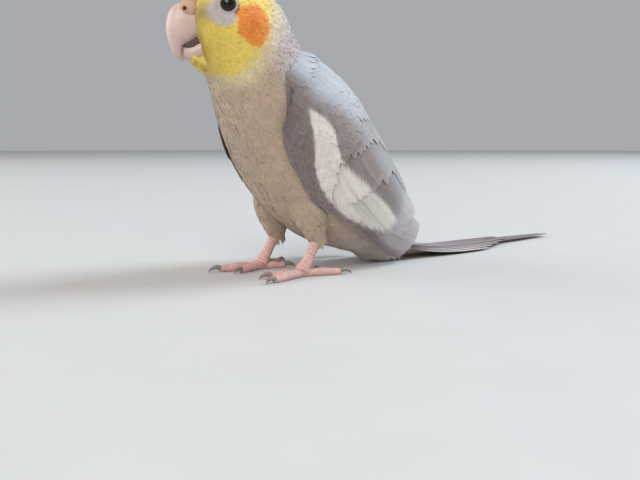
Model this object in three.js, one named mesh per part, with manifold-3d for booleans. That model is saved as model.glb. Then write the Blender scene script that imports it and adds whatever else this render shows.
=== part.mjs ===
// A cockatiel standing on the floor, life size, in millimetres.
// +Z is up, the bird faces -Y and its left side is +X. Its head is turned a little to its right.
// Flesh is lofted from named stations, and feathers are tapered vanes laid on named surfaces.

import * as THREE from "three";
import { mergeVertices } from "three/addons/utils/BufferGeometryUtils.js";
import Module from "manifold-3d";

const wasm = await Module();
wasm.setup();

const { cos, sin, abs, min, max, PI } = Math;
const rad = THREE.MathUtils.degToRad;
const lerp = THREE.MathUtils.lerp;

// Driving dimensions.
const SEAM = 0.3; // gap between two pieces that meet
const FAR = 400; // half size of a cutting block, larger than the bird
const HEAD = new THREE.Vector3(-2, -23.3, 102.3); // middle of the head
const HEAD_YAW = 22; // degrees the head is turned to the bird's right
const VANE = 0.8; // thickness of a feather vane
const EYE_RADIUS = 3.6;
const EYE_AT = { forward: 2.9, up: 2.1, left: 10.9 };
const FOOT_SPREAD = 13.5; // each foot's distance from the middle
const ANKLE = { back: 8.5, up: 15 };
const KNEE = { side: 10.5, back: 3, up: 34 };
const TAIL_LENGTH = 152; // the longest tail feather, from its root
const WING_LENGTH = 117; // shoulder to the end of the clipped flight feathers

// Stations of the body, from the face to the rump, each a ring through the top and the bottom of its profile.
// A head place is [forward, up] from the head's middle; the others are [side, back, up].
const STATIONS = [
  { top: [15.4, 1], bottom: [12.2, -11], wide: 5.2, turn: 1 },
  { top: [13, 7.1], bottom: [10.8, -18.4], wide: 9.6, turn: 1 },
  { top: [3.2, 12.4], bottom: [10.2, -21.6], wide: 12.8, turn: 1 },
  { top: [-8.5, 11.6], bottom: [8.8, -24], wide: 14.3, turn: 0.95 },
  { top: [3.9, -5, 107.6], bottom: [-4.2, -31, 75.8], wide: 15.8, turn: 0.75 },
  { top: [3, 3.4, 94.5], bottom: [-2.6, -29.3, 71.2], wide: 17.8, turn: 0.45 },
  { top: [1.1, 8.8, 85.7], bottom: [-0.9, -27.6, 65.5], wide: 20.5, turn: 0.15 },
  { top: [0, 14.6, 76.9], bottom: [0, -20.8, 51], wide: 23.5, turn: 0 },
  { top: [0, 24, 65.7], bottom: [0, -11.4, 34.9], wide: 25, turn: 0 },
  { top: [0, 33.3, 53.3], bottom: [0, 1, 22], wide: 24, turn: 0 },
  { top: [0, 40.8, 40.6], bottom: [0, 15.8, 12.7], wide: 20.5, turn: 0 },
  { top: [0, 47.1, 28.8], bottom: [0, 30.9, 7.8], wide: 15.5, turn: 0 },
  { top: [0, 53.9, 19.2], bottom: [0, 43.5, 4.4], wide: 10.5, turn: 0 },
];
// Where head, neck and torso meet: a point of each cut and how far its face dips from upright.
const NECK_CUT = { back: -20.2, up: 86.8, dip: 52 };
const TORSO_CUT = { back: -10.2, up: 72.5, dip: 45 };

// Places on the head: forward and left are level and turned with it.
const headForward = new THREE.Vector3(-sin(rad(HEAD_YAW)), -cos(rad(HEAD_YAW)), 0);
const headLeft = new THREE.Vector3(cos(rad(HEAD_YAW)), -sin(rad(HEAD_YAW)), 0);
function onHead(forward, up, left = 0) {
  return HEAD.clone()
    .addScaledVector(headForward, forward)
    .addScaledVector(headLeft, left)
    .add(new THREE.Vector3(0, 0, up));
}

// A smooth curve through a list of points, uniform in the list's own index.
function through(points) {
  const curve = new THREE.CatmullRomCurve3(points, false, "catmullrom", 0.5);
  return (index) => curve.getPoint(index / (points.length - 1));
}

const place = (at) => (at.length === 2 ? onHead(...at) : new THREE.Vector3(...at));
const bodyTop = through(STATIONS.map((s) => place(s.top)));
const bodyBottom = through(STATIONS.map((s) => place(s.bottom)));
const bodyWidth = through(STATIONS.map((s) => new THREE.Vector3(s.wide, s.turn, 0)));
const LAST = STATIONS.length - 1;

// A point of the body's surface: angle 0 is along its upper side, 90 its left, and grow stands off it.
function onBody(station, angle, grow = 0) {
  const [top, bottom] = [bodyTop(station), bodyBottom(station)];
  const { x: wide, y: turned } = bodyWidth(station);
  const half = top.distanceTo(bottom) / 2;
  const upper = top.clone().sub(bottom).normalize();
  const turn = rad(HEAD_YAW) * turned;
  const left = new THREE.Vector3(cos(turn), -sin(turn), 0);
  left.addScaledVector(upper, -left.dot(upper)).normalize();
  return top
    .lerp(bottom, 0.5)
    .addScaledVector(left, (wide + grow) * sin(rad(angle)))
    .addScaledVector(upper, (half + grow) * cos(rad(angle)));
}

// A closed loft through rings of points, with a fan at each end.
function loft(rings) {
  const size = rings[0].length;
  const points = rings.flat();
  const middle = (ring) => ring.reduce((sum, p) => sum.add(p), new THREE.Vector3()).divideScalar(size);
  points.push(middle(rings[0]), middle(rings.at(-1)));
  const [first, last] = [points.length - 2, points.length - 1];
  const index = [];
  for (let r = 0; r < rings.length - 1; r++)
    for (let k = 0; k < size; k++) {
      const a = r * size + k;
      const b = r * size + ((k + 1) % size);
      index.push(a, b, b + size, a, b + size, a + size);
    }
  const end = (rings.length - 1) * size;
  for (let k = 0; k < size; k++) {
    const next = (k + 1) % size;
    index.push(first, next, k, last, end + k, end + next);
  }
  const geometry = new THREE.BufferGeometry().setFromPoints(points);
  geometry.setIndex(index);
  return solid(geometry);
}

// A closed geometry as a solid, turned right side out.
const WELD = 1e-4; // points nearer than this are one
function solid(geometry) {
  const bare = geometry.index ? geometry.toNonIndexed() : geometry.clone();
  bare.deleteAttribute("normal");
  bare.deleteAttribute("uv");
  const merged = mergeVertices(bare, WELD);
  const build = (triVerts) =>
    new wasm.Manifold(
      new wasm.Mesh({ numProp: 3, vertProperties: merged.attributes.position.array, triVerts }),
    );
  const triVerts = new Uint32Array(merged.index.array);
  const made = build(triVerts);
  return made.volume() > 0 ? made : build(triVerts.slice().reverse());
}

const join = (solids) => solids.reduce((all, one) => all.add(one));

// Only the largest closed surface of a solid.
function largest(shape) {
  const pieces = shape.decompose().sort((a, b) => b.volume() - a.volume());
  return pieces[0];
}

// The half space on the side of a plane that its normal points to, as one large block.
function beyond(point, normal) {
  const block = new THREE.BoxGeometry(2 * FAR, 2 * FAR, 2 * FAR).translate(0, 0, FAR);
  const facing = new THREE.Quaternion().setFromUnitVectors(new THREE.Vector3(0, 0, 1), normal);
  return solid(block.applyQuaternion(facing).translate(point.x, point.y, point.z));
}

// An ellipsoid with its own axes: right, up and out are unit vectors, sizes its half lengths along them.
const BALL_RINGS = 0.6; // rings of a ball for each of its segments
function ellipsoid(centre, [right, up, out], sizes, segments) {
  const ball = new THREE.SphereGeometry(1, segments, segments * BALL_RINGS).scale(...sizes);
  const basis = new THREE.Matrix4().makeBasis(right, up, out).setPosition(centre);
  return solid(ball.applyMatrix4(basis));
}

// A round-sectioned tube through points, with a radius for each.
const NEARBY = 0.1; // share of the way to the next point over which a direction is taken
const UPRIGHT = 0.2; // a direction whose level part is shorter than this counts as upright
function tube(points, radii, sides) {
  const path = through(points);
  const width = through(radii.map((r) => new THREE.Vector3(r, 0, 0)));
  const steps = (points.length - 1) * 2;
  const rings = [];
  for (let s = 0; s <= steps; s++) {
    const at = s / 2;
    const ahead = path(min(at + NEARBY, points.length - 1));
    const along = ahead.sub(path(max(at - NEARBY, 0))).normalize();
    const level = new THREE.Vector3(0, 0, 1).cross(along);
    if (level.length() < UPRIGHT) level.set(1, 0, 0).addScaledVector(along, -along.x);
    level.normalize();
    const upright = along.clone().cross(level);
    const ring = [];
    for (let k = 0; k < sides; k++) {
      const angle = (2 * PI * (k + 0.5)) / sides;
      const out = level.clone().multiplyScalar(cos(angle)).addScaledVector(upright, sin(angle));
      ring.push(path(at).addScaledVector(out, width(at).x));
    }
    rings.push(ring);
  }
  return loft(rings);
}

// A feather vane laid on a surface(along, across, height): it runs from root to tip, both given as
// [along, across, height], is as wide as its shape says, and tilts so that one edge lies higher.
const VANE_SHAPE = [0.6, 1, 0.92, 0.3];
function vane(surface, root, tip, width, { tilt = 0, bend = 0, shape = VANE_SHAPE, thick = VANE } = {}) {
  const rings = shape.map((share, station) => {
    const t = station / (shape.length - 1);
    const along = lerp(root[0], tip[0], t);
    const across = lerp(root[1], tip[1], t) + bend * sin(PI * t);
    const height = lerp(root[2], tip[2], t);
    const unit = surface(along, across + 0.5, height).distanceTo(surface(along, across - 0.5, height));
    const half = (width * share) / 2 / unit;
    const rise = tilt * share;
    const point = (side, drop) => surface(along, across + side * half, height + side * rise - drop);
    return [point(-1, 0), point(1, 0), point(1, thick), point(-1, thick)];
  });
  return loft(rings);
}

// The whole flesh of head, neck and torso, parted by two thin cuts.
const AROUND = 22;
const RINGS_PER_STATION = 3;
function flesh(grow = 0) {
  const rings = [];
  for (let r = 0; r <= LAST * RINGS_PER_STATION; r++) {
    const ring = [];
    for (let k = 0; k < AROUND; k++) ring.push(onBody(r / RINGS_PER_STATION, (360 * k) / AROUND, grow));
    rings.push(ring);
  }
  return loft(rings);
}
const wholeFlesh = flesh();
const fleshRoom = flesh(SEAM);

function partedFlesh() {
  const cut = ({ back, up, dip }, offset) => {
    const normal = new THREE.Vector3(0, cos(rad(dip)), -sin(rad(dip)));
    return beyond(new THREE.Vector3(0, back, up).addScaledVector(normal, offset), normal);
  };
  const afterHead = cut(NECK_CUT, 0);
  const afterHeadSeam = cut(NECK_CUT, SEAM);
  const afterNeck = cut(TORSO_CUT, 0);
  const afterNeckSeam = cut(TORSO_CUT, SEAM);
  return {
    head: largest(wholeFlesh.subtract(afterHead)),
    neck: largest(wholeFlesh.intersect(afterHeadSeam).subtract(afterNeck)),
    torso: largest(wholeFlesh.intersect(afterNeckSeam)),
  };
}

// The bill: the upper half hooks down over the scoop of the lower half, and the cere sits on its root.
// Each ring goes through the top and the bottom of the profile, both [forward, up] from the head's middle.
const UPPER_BILL = [
  { top: [11.5, 3.4], bottom: [11.2, -8.6], wide: 5 },
  { top: [18, 3.8], bottom: [14, -10.6], wide: 4.9 },
  { top: [22.4, 1.6], bottom: [16.2, -11.7], wide: 4.6 },
  { top: [24.4, -3], bottom: [17.8, -12.4], wide: 4 },
  { top: [24.4, -8.2], bottom: [18.4, -13.4], wide: 3.1 },
  { top: [22.8, -13.4], bottom: [18.4, -15.2], wide: 2.1 },
  { top: [20.8, -16.6], bottom: [18.2, -16.4], wide: 1.4 },
  { top: [18.4, -18.1], bottom: [17.6, -17.5], wide: 0.6 },
];
const LOWER_BILL = [
  { top: [8.5, -8.6], bottom: [8, -16.8], wide: 4.7 },
  { top: [12, -9.9], bottom: [11, -17.6], wide: 4.6 },
  { top: [14.8, -11.6], bottom: [13.8, -18], wide: 4.2 },
  { top: [17, -12.4], bottom: [16, -17.7], wide: 3.2 },
  { top: [18.1, -13.4], bottom: [17.5, -16.8], wide: 1.8 },
];
const BILL_SIDES = 12;
function billSolid(stations, grow = 0) {
  const top = through(stations.map((s) => onHead(...s.top)));
  const bottom = through(stations.map((s) => onHead(...s.bottom)));
  const width = through(stations.map((s) => new THREE.Vector3(s.wide, 0, 0)));
  const end = stations.length - 1;
  const rings = [];
  for (let at = 0; at <= end; at += 0.5) {
    const upper = top(at).sub(bottom(at));
    const half = upper.length() / 2;
    upper.normalize();
    const longer = at === 0 ? -grow : at === end ? grow : 0;
    const ring = [];
    for (let k = 0; k < BILL_SIDES; k++) {
      const angle = (2 * PI * k) / BILL_SIDES;
      ring.push(
        top(at)
          .lerp(bottom(at), 0.5)
          .addScaledVector(headLeft.clone().cross(upper), longer)
          .addScaledVector(headLeft, (width(at).x + grow) * cos(angle))
          .addScaledVector(upper, (half + grow) * sin(angle)),
      );
    }
    rings.push(ring);
  }
  return loft(rings);
}

const CERE = { forward: 15.2, up: 0.9, wide: 5.6, tall: 4.2, long: 5 };
const NOSTRIL = { forward: 17.9, up: 1, left: 4.5, radius: 0.9, depth: 2, aside: 0.9 };
const BALL_SIDES = { cere: 14, nostril: 8, eye: 14, chin: 12 };
const up = new THREE.Vector3(0, 0, 1);
function cereSolid(grow = 0) {
  const sizes = [CERE.wide + grow, CERE.tall + grow, CERE.long + grow];
  const axes = [headLeft, up, headForward];
  return ellipsoid(onHead(CERE.forward, CERE.up), axes, sizes, BALL_SIDES.cere);
}
function nostril(side) {
  const at = onHead(NOSTRIL.forward, NOSTRIL.up, side * NOSTRIL.left);
  const out = headForward.clone().addScaledVector(headLeft, side * NOSTRIL.aside).normalize();
  const across = up.clone().cross(out).normalize();
  const sizes = [NOSTRIL.radius, NOSTRIL.radius, NOSTRIL.depth];
  return ellipsoid(at, [across, up, out], sizes, BALL_SIDES.nostril);
}

// The chin is full and runs forward under the lower bill.
const CHIN = { forward: 11.5, up: -18.5, wide: 4.8, deep: 2.4, long: 6.6, rise: 36 };
function chinSolid() {
  const ahead = headForward.clone().multiplyScalar(cos(rad(CHIN.rise))).addScaledVector(up, sin(rad(CHIN.rise)));
  const over = ahead.clone().cross(headLeft);
  const sizes = [CHIN.wide, CHIN.deep, CHIN.long];
  return ellipsoid(onHead(CHIN.forward, CHIN.up), [headLeft, over, ahead], sizes, BALL_SIDES.chin);
}

// The eye faces out and a little forward; the lids are a raised ring round it.
const EYE_FORWARD = 0.22; // how far the eye's axis leans forward for each unit out
const EYE_DEPTH = 0.8; // the eye's depth as a share of its width
const LID = { radius: EYE_RADIUS - 0.1, thick: 0.8, out: 1.5, sides: 5, segments: 14 };
function eyeAxes(side) {
  const out = headLeft.clone().multiplyScalar(side).addScaledVector(headForward, EYE_FORWARD).normalize();
  const across = up.clone().cross(out).normalize();
  return [across, out.clone().cross(across), out];
}
const eyeCentre = (side) => onHead(EYE_AT.forward, EYE_AT.up, side * EYE_AT.left);
function eyeSolid(side, grow = 0) {
  const axes = eyeAxes(side);
  const size = EYE_RADIUS + grow;
  return ellipsoid(eyeCentre(side), axes, [size, size, size * EYE_DEPTH], BALL_SIDES.eye);
}
function lidRing(side) {
  const axes = eyeAxes(side);
  const ring = new THREE.TorusGeometry(LID.radius, LID.thick, LID.sides, LID.segments);
  const at = eyeCentre(side).addScaledVector(axes[2], LID.out);
  return solid(ring.applyMatrix4(new THREE.Matrix4().makeBasis(...axes).setPosition(at)));
}

// Crest feathers from the forehead to the crown, left and right of the middle in turn: the root's place, the
// feather's length and width, and how many degrees it lifts.
const CREST = [
  { forward: 9.5, up: 8.4, long: 17, lift: 50, wide: 3.6, left: 0 },
  { forward: 7.2, up: 9.6, long: 24, lift: 47, wide: 3.8, left: 1.3 },
  { forward: 4.8, up: 10.6, long: 31, lift: 43, wide: 3.8, left: -1.4 },
  { forward: 2.4, up: 11, long: 38, lift: 38, wide: 3.6, left: 1.1 },
  { forward: 0.2, up: 11, long: 43, lift: 33, wide: 3.4, left: -0.9 },
  { forward: -2, up: 10.8, long: 36, lift: 25, wide: 3.2, left: 1.6 },
  { forward: -4, up: 10.2, long: 27, lift: 17, wide: 3, left: -1.2 },
];
const CREST_CURL = 15; // degrees that a crest feather bends up towards its tip
const CREST_SHAPE = [0.8, 1, 0.95, 0.7, 0.25];
const CREST_TWIST = 1.5; // how far one edge of a crest feather stands above the other, either way
const CREST_ROOT = { along: -3.5, height: 0.4 }; // the root lies under the crown
function crestFeather({ forward, up, long, lift, wide, left }) {
  // The feather lies back along its lift and its tip curls up.
  const surface = (along, across, height) => {
    const t = along / long;
    const angle = rad(lift + CREST_CURL * t * t);
    return onHead(
      forward - along * cos(angle) - height * sin(angle),
      up + along * sin(angle) - height * cos(angle),
      left * (1 + t) + across,
    );
  };
  const tilt = left > 0 ? CREST_TWIST : -CREST_TWIST;
  const root = [CREST_ROOT.along, 0, CREST_ROOT.height];
  return vane(surface, root, [long, 0, CREST_ROOT.height], wide, { shape: CREST_SHAPE, tilt });
}

// The folded wing's own surface: a sheet bent round the flank, given by stations along the wing.
// Each station has a centre, half width, upper depth and lower depth, as the body has.
const WING_STATIONS = [
  { back: -9.8, up: 78.5, wide: 22.4, above: 21.4, below: 25.5 },
  { back: 4.2, up: 62.5, wide: 27, above: 26, below: 28.5 },
  { back: 18.6, up: 47, wide: 28.2, above: 27, below: 30 },
  { back: 33.6, up: 32.4, wide: 26.5, above: 25.5, below: 27.5 },
  { back: 48.8, up: 19.8, wide: 22.5, above: 23, below: 24 },
  { back: 65.7, up: 10.6, wide: 16.5, above: 18.5, below: 18 },
];
const wingCentre = through(WING_STATIONS.map((s) => new THREE.Vector3(0, s.back, s.up)));
const wingSizes = through(WING_STATIONS.map((s) => new THREE.Vector3(s.wide, s.above, s.below)));
const WING_LAST = WING_STATIONS.length - 1;
const BELLY_SIDE = 90; // degrees round the wing's surface from its upper edge to its widest line

// A point of the left wing's surface: millimetres along the wing, degrees round it, height off it.
function onWing(along, angle, height) {
  const at = (along / WING_LENGTH) * WING_LAST;
  const clamped = min(max(at, 0), WING_LAST);
  const ahead = wingCentre(min(clamped + NEARBY, WING_LAST));
  const back = ahead.sub(wingCentre(max(clamped - NEARBY, 0))).normalize();
  const left = new THREE.Vector3(1, 0, 0);
  const upper = left.clone().cross(back);
  const { x: wide, y: above, z: below } = wingSizes(clamped);
  const deep = angle < BELLY_SIDE ? above : below;
  return wingCentre(clamped)
    .addScaledVector(back, ((at - clamped) * WING_LENGTH) / WING_LAST)
    .addScaledVector(left, (wide + height) * sin(rad(angle)))
    .addScaledVector(upper, (deep + height) * cos(rad(angle)));
}

// The edges of the folded wing, in degrees round it, at even steps along it.
const WING_UPPER = [46, 27, 15, 9, 6, 12, 22];
const WING_LOWER = [108, 142, 150, 146, 136, 122, 108];
// The core under the vanes: how high its top and its bottom lie at the shoulder, how far it reaches, how much
// of its thickness it loses on the way, and its steps along and across.
const CORE = { top: -0.6, bottom: -5.5, reach: 0.86, thinning: 0.75, steps: 8, across: 5 };
const edgeAt = (edge, share) => {
  const curve = through(edge.map((degrees) => new THREE.Vector3(degrees, 0, 0)));
  return curve(share * (edge.length - 1)).x;
};
function wingCore() {
  const rings = [];
  for (let s = 0; s <= CORE.steps; s++) {
    const share = s / CORE.steps;
    const along = share * WING_LENGTH * CORE.reach;
    const [from, to] = [edgeAt(WING_UPPER, share), edgeAt(WING_LOWER, share)];
    const bottom = lerp(CORE.top, CORE.bottom, 1 - CORE.thinning * share);
    const upperSide = [];
    const underside = [];
    for (let k = 0; k <= CORE.across; k++) {
      const angle = lerp(from, to, k / CORE.across);
      upperSide.push(onWing(along, angle, CORE.top));
      underside.unshift(onWing(along, angle, bottom));
    }
    rings.push([...upperSide, ...underside]);
  }
  return loft(rings);
}

// The parts of the wing are rows of vanes. A row's roots run from one place to another and so do its tips,
// each place given as [along, degrees]; high is a feather's height off the surface at its root and its tip.
const ROWS = [
  // Primaries, clipped short, lie lowest along the wing's lower edge.
  { count: 5, from: [58, 122], to: [70, 96], tip: [110, 116], tipTo: [118, 76], wide: 9, high: [0.2, 0.4] },
  // Secondaries above them.
  { count: 4, from: [50, 104], to: [62, 66], tip: [100, 94], tipTo: [109, 54], wide: 12.5, high: [0.4, 1.4] },
  // Tertials close the wing over the back.
  { count: 3, from: [54, 48], to: [56, 20], tip: [95, 42], tipTo: [103, 18], wide: 14, high: [0.5, 1.5] },
  // Greater coverts, the long pale ones of the wing bar.
  { count: 6, from: [24, 112], to: [36, 46], tip: [56, 126], tipTo: [72, 52], wide: 12.5, high: [0.3, 2.3] },
  // Median coverts.
  { count: 5, from: [8, 98], to: [16, 50], tip: [36, 112], tipTo: [46, 54], wide: 11.5, high: [0.6, 3.2] },
  // Scapulars fall from the shoulder over the root of the wing.
  { count: 4, from: [8, 46], to: [30, 22], tip: [44, 42], tipTo: [74, 20], wide: 13.5, high: [0.5, 2.9] },
  // Primary coverts and the alula down the front edge.
  { count: 3, from: [8, 112], to: [30, 138], tip: [34, 132], tipTo: [66, 130], wide: 10, high: [0.4, 2.3] },
];
const COVERT_SHAPE = [0.75, 1, 0.4];
const COVERT_LENGTH = 42; // a feather longer than this has the shape of a flight feather
const OVERLAP_TILT = -0.55; // each feather's upper edge lies over the next one
function rowOfVanes({ count, from, to, tip, tipTo, wide, high }) {
  const vanes = [];
  for (let i = 0; i < count; i++) {
    const t = i / (count - 1);
    const root = [lerp(from[0], to[0], t), lerp(from[1], to[1], t), high[0]];
    const end = [lerp(tip[0], tipTo[0], t), lerp(tip[1], tipTo[1], t), high[1]];
    const shape = end[0] - root[0] > COVERT_LENGTH ? VANE_SHAPE : COVERT_SHAPE;
    vanes.push(vane(onWing, root, end, wide, { tilt: OVERLAP_TILT, shape }));
  }
  return vanes;
}

// The tail's own surface: it leaves the rump and bends down to lie along the floor.
const TAIL_LINE = [
  { back: 43, up: 16 },
  { back: 58, up: 8.4 },
  { back: 76, up: 3.4 },
  { back: 97, up: 1.2 },
  { back: 130, up: 0.6 },
  { back: 200, up: 0.6 },
];
const tailLine = new THREE.CatmullRomCurve3(
  TAIL_LINE.map((s) => new THREE.Vector3(0, s.back, s.up)),
  false,
  "catmullrom",
  0.5,
);
const tailLineLength = tailLine.getLength();
function onTail(along, across, height) {
  const u = min(max(along / tailLineLength, 0), 1);
  const back = tailLine.getTangentAt(u);
  const upper = new THREE.Vector3(1, 0, 0).cross(back);
  return tailLine
    .getPointAt(u)
    .addScaledVector(back, along - u * tailLineLength)
    .addScaledVector(upper, height)
    .add(new THREE.Vector3(across, 0, 0));
}
const TAIL_PAIRS = 6;
const TAIL_SHAPE = [0.6, 0.85, 1, 0.85, 0.3];
// From the second pair to the outermost, and from the middle pair to the outermost.
const TAIL_REACH = [118, 82];
const TAIL_ROOTS = { along: 4, aside: [1.2, 4.2], high: [2.6, -0.2] };
const TAIL_TIPS = { aside: [1.4, 13], high: [2.3, 0], wide: [8.5, 11] };
const MIDDLE_TIP_HIGH = 0.5; // the long middle pair comes down onto the floor
function tailFeather(pair, side) {
  const share = pair / (TAIL_PAIRS - 1);
  const long = pair === 0 ? TAIL_LENGTH : lerp(...TAIL_REACH, share);
  const high = pair === 0 ? MIDDLE_TIP_HIGH : lerp(...TAIL_TIPS.high, share);
  const root = [TAIL_ROOTS.along, side * lerp(...TAIL_ROOTS.aside, share), lerp(...TAIL_ROOTS.high, share)];
  const tip = [long, side * lerp(...TAIL_TIPS.aside, share), high];
  return vane(onTail, root, tip, lerp(...TAIL_TIPS.wide, share), { shape: TAIL_SHAPE });
}

// The tail's root: a tapered block that carries the feathers, under rows of small coverts.
const TAIL_ROOT = { from: 6, to: 50, wide: [9, 5], above: [5.5, 2.6], below: [6, 0.2], steps: 6, sides: 14 };
function tailRoot() {
  const rings = [];
  for (let s = 0; s <= TAIL_ROOT.steps; s++) {
    const t = s / TAIL_ROOT.steps;
    const along = lerp(TAIL_ROOT.from, TAIL_ROOT.to, t);
    const ring = [];
    for (let k = 0; k < TAIL_ROOT.sides; k++) {
      const angle = (2 * PI * k) / TAIL_ROOT.sides;
      const deep = cos(angle) > 0 ? lerp(...TAIL_ROOT.above, t) : lerp(...TAIL_ROOT.below, t);
      ring.push(onTail(along, lerp(...TAIL_ROOT.wide, t) * sin(angle), deep * cos(angle)));
    }
    rings.push(ring);
  }
  return loft(rings);
}
const TAIL_COVERTS = [
  { along: 14, long: 26, high: 5.2, low: 3.4, spread: [-6, 0, 6] },
  { along: 26, long: 28, high: 4.2, low: 3, spread: [-4, 4] },
];
const TAIL_COVERT = { wide: 8, droop: 0.25, fan: 1.05 };
function tailCoverts() {
  return TAIL_COVERTS.flatMap(({ along, long, high, low, spread }) =>
    spread.map((across) => {
      const drop = abs(across) * TAIL_COVERT.droop;
      const tip = [along + long, across * TAIL_COVERT.fan, low - drop];
      return vane(onTail, [along, across, high - drop], tip, TAIL_COVERT.wide);
    }),
  );
}

// Legs: a feathered thigh, a bare shank, two toes forward and two back, each ending in a claw.
const THIGH = { radii: [8, 7.2, 3.4], sides: 12, past: 0.5, short: 1.5 };
const SHANK = { radius: 2.3, shares: [1, 0.92, 1.3], sides: 10, bend: [0.45, 0.5], ball: 2.2 };
const TOES = [
  { name: "outer_front", long: 19, heading: 14, radius: 1.75 },
  { name: "inner_front", long: 14, heading: -16, radius: 1.6 },
  { name: "outer_back", long: 17, heading: 158, radius: 1.65 },
  { name: "inner_back", long: 11, heading: 200, radius: 1.5 },
];
// Pads and joints of a toe from its root to its end: share of its length, height and girth in toe radii.
const TOE_PADS = [
  { at: 0, up: 1, girth: 1.15 },
  { at: 0.28, up: 0.85, girth: 1 },
  { at: 0.52, up: 0.95, girth: 1.08 },
  { at: 0.76, up: 0.75, girth: 0.95 },
  { at: 1, up: 0.8, girth: 0.8 },
];
const TOE_SIDES = 8;
// A claw starts just inside its toe: share of its length, height in toe radii, girth in claw radii.
const CLAW = { long: 5.6, radius: 1.15, inside: 1, tipUp: 0.35, tipRadius: 0.3, sides: 6 };
const CLAW_BENDS = [
  { at: 0, up: 0.9, girth: 1 },
  { at: 0.4, up: 1.25, girth: 0.85 },
  { at: 0.8, up: 0.85, girth: 0.5 },
];
const footCentre = (side) => new THREE.Vector3(side * FOOT_SPREAD, 0, 0);
// A direction over the floor: 0 is forward, 90 is out to the bird's own side.
function heading(side, degrees) {
  return new THREE.Vector3(side * sin(rad(degrees)), -cos(rad(degrees)), 0);
}
function onToe(side, toe, along, height) {
  return footCentre(side).addScaledVector(heading(side, toe.heading), along).setZ(height);
}
function thighSolid(side, grow = 0) {
  const knee = new THREE.Vector3(side * KNEE.side, KNEE.back, KNEE.up);
  const end = ANKLE.up - THIGH.short - grow;
  const ankle = new THREE.Vector3(side * FOOT_SPREAD, ANKLE.back + THIGH.past, end);
  const halfway = knee.clone().lerp(ankle, 0.5);
  return tube([knee, halfway, ankle], THIGH.radii.map((r) => r + grow), THIGH.sides);
}
function footSolid(side) {
  const ankle = new THREE.Vector3(side * FOOT_SPREAD, ANKLE.back, ANKLE.up);
  const [back, high] = [ANKLE.back * SHANK.bend[0], ANKLE.up * SHANK.bend[1]];
  const halfway = new THREE.Vector3(side * FOOT_SPREAD, back, high);
  const line = [ankle, halfway, footCentre(side).setZ(SHANK.ball)];
  const shank = tube(line, SHANK.shares.map((share) => share * SHANK.radius), SHANK.sides);
  const toes = TOES.map((toe) => {
    const points = TOE_PADS.map((pad) => onToe(side, toe, toe.long * pad.at, toe.radius * pad.up));
    return tube(points, TOE_PADS.map((pad) => toe.radius * pad.girth), TOE_SIDES);
  });
  return join([shank, ...toes]);
}
function clawSolid(side, toe) {
  const from = toe.long - CLAW.inside;
  const points = CLAW_BENDS.map((bend) => onToe(side, toe, from + CLAW.long * bend.at, toe.radius * bend.up));
  points.push(onToe(side, toe, from + CLAW.long, CLAW.tipUp));
  const radii = CLAW_BENDS.map((bend) => CLAW.radius * bend.girth);
  return tube(points, [...radii, CLAW.tipRadius], CLAW.sides);
}

// Materials, in the colours of the bird.
const paint = (color, roughness = 0.8) => new THREE.MeshStandardMaterial({ color, roughness, metalness: 0 });
const MATERIALS = {
  head: paint(0xe8d77c),
  body: paint(0xc3b5a0),
  wing: paint(0x98908d),
  tail: paint(0x8d8482),
  bill: paint(0xdcc4b8, 0.45),
  cere: paint(0xe9d6cc, 0.6),
  eye: paint(0x14100f, 0.15),
  foot: paint(0xd9a9a2, 0.6),
  claw: paint(0xd8d0c8, 0.4),
};

const bird = new THREE.Group();
function add(name, shape, material) {
  const { vertProperties, triVerts, numProp } = shape.getMesh();
  const points = new Float32Array((vertProperties.length / numProp) * 3);
  for (let v = 0; v < points.length / 3; v++)
    points.set(vertProperties.subarray(v * numProp, v * numProp + 3), v * 3);
  const geometry = new THREE.BufferGeometry();
  geometry.setAttribute("position", new THREE.BufferAttribute(points, 3));
  geometry.setIndex(new THREE.BufferAttribute(triVerts, 1));
  const mesh = new THREE.Mesh(geometry, material);
  mesh.name = name;
  bird.add(mesh);
}

const SIDES = { left: 1, right: -1 };
const floorBlock = beyond(new THREE.Vector3(), new THREE.Vector3(0, 0, -1));

function buildHead({ head, neck, torso }) {
  const upperBill = billSolid(UPPER_BILL).subtract(billSolid(LOWER_BILL, SEAM));
  const cere = cereSolid().subtract(billSolid(UPPER_BILL, SEAM)).subtract(nostril(1)).subtract(nostril(-1));
  let skull = join([head, chinSolid(), lidRing(1), lidRing(-1), ...CREST.map(crestFeather)])
    .subtract(billSolid(UPPER_BILL, SEAM))
    .subtract(billSolid(LOWER_BILL, SEAM))
    .subtract(cereSolid(SEAM));
  for (const [name, side] of Object.entries(SIDES)) {
    skull = skull.subtract(eyeSolid(side, SEAM));
    add(`eye_${name}`, eyeSolid(side), MATERIALS.eye);
  }
  add("head", largest(skull), MATERIALS.head);
  add("cere", largest(cere), MATERIALS.cere);
  add("bill_upper", largest(upperBill), MATERIALS.bill);
  add("bill_lower", largest(billSolid(LOWER_BILL)), MATERIALS.bill);
  add("neck", neck, MATERIALS.body);
  add("torso", torso, MATERIALS.body);
}

const tailFrame = tailRoot();
const rectrices = [1, -1].flatMap((side) =>
  Array.from({ length: TAIL_PAIRS }, (_, pair) => tailFeather(pair, side)),
);
const tailSolid = largest(
  join([tailFrame, ...rectrices, ...tailCoverts()]).subtract(fleshRoom).subtract(floorBlock),
);

function mirrored(shape) {
  return shape.mirror([1, 0, 0]);
}

function buildWings() {
  const middlePlane = beyond(new THREE.Vector3(SEAM, 0, 0), new THREE.Vector3(-1, 0, 0));
  const wing = largest(
    join([wingCore(), ...ROWS.flatMap(rowOfVanes)])
      .subtract(fleshRoom)
      .subtract(middlePlane)
      .subtract(thighSolid(1, SEAM)),
  );
  add("wing_left", wing, MATERIALS.wing);
  add("wing_right", mirrored(wing), MATERIALS.wing);
}

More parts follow.
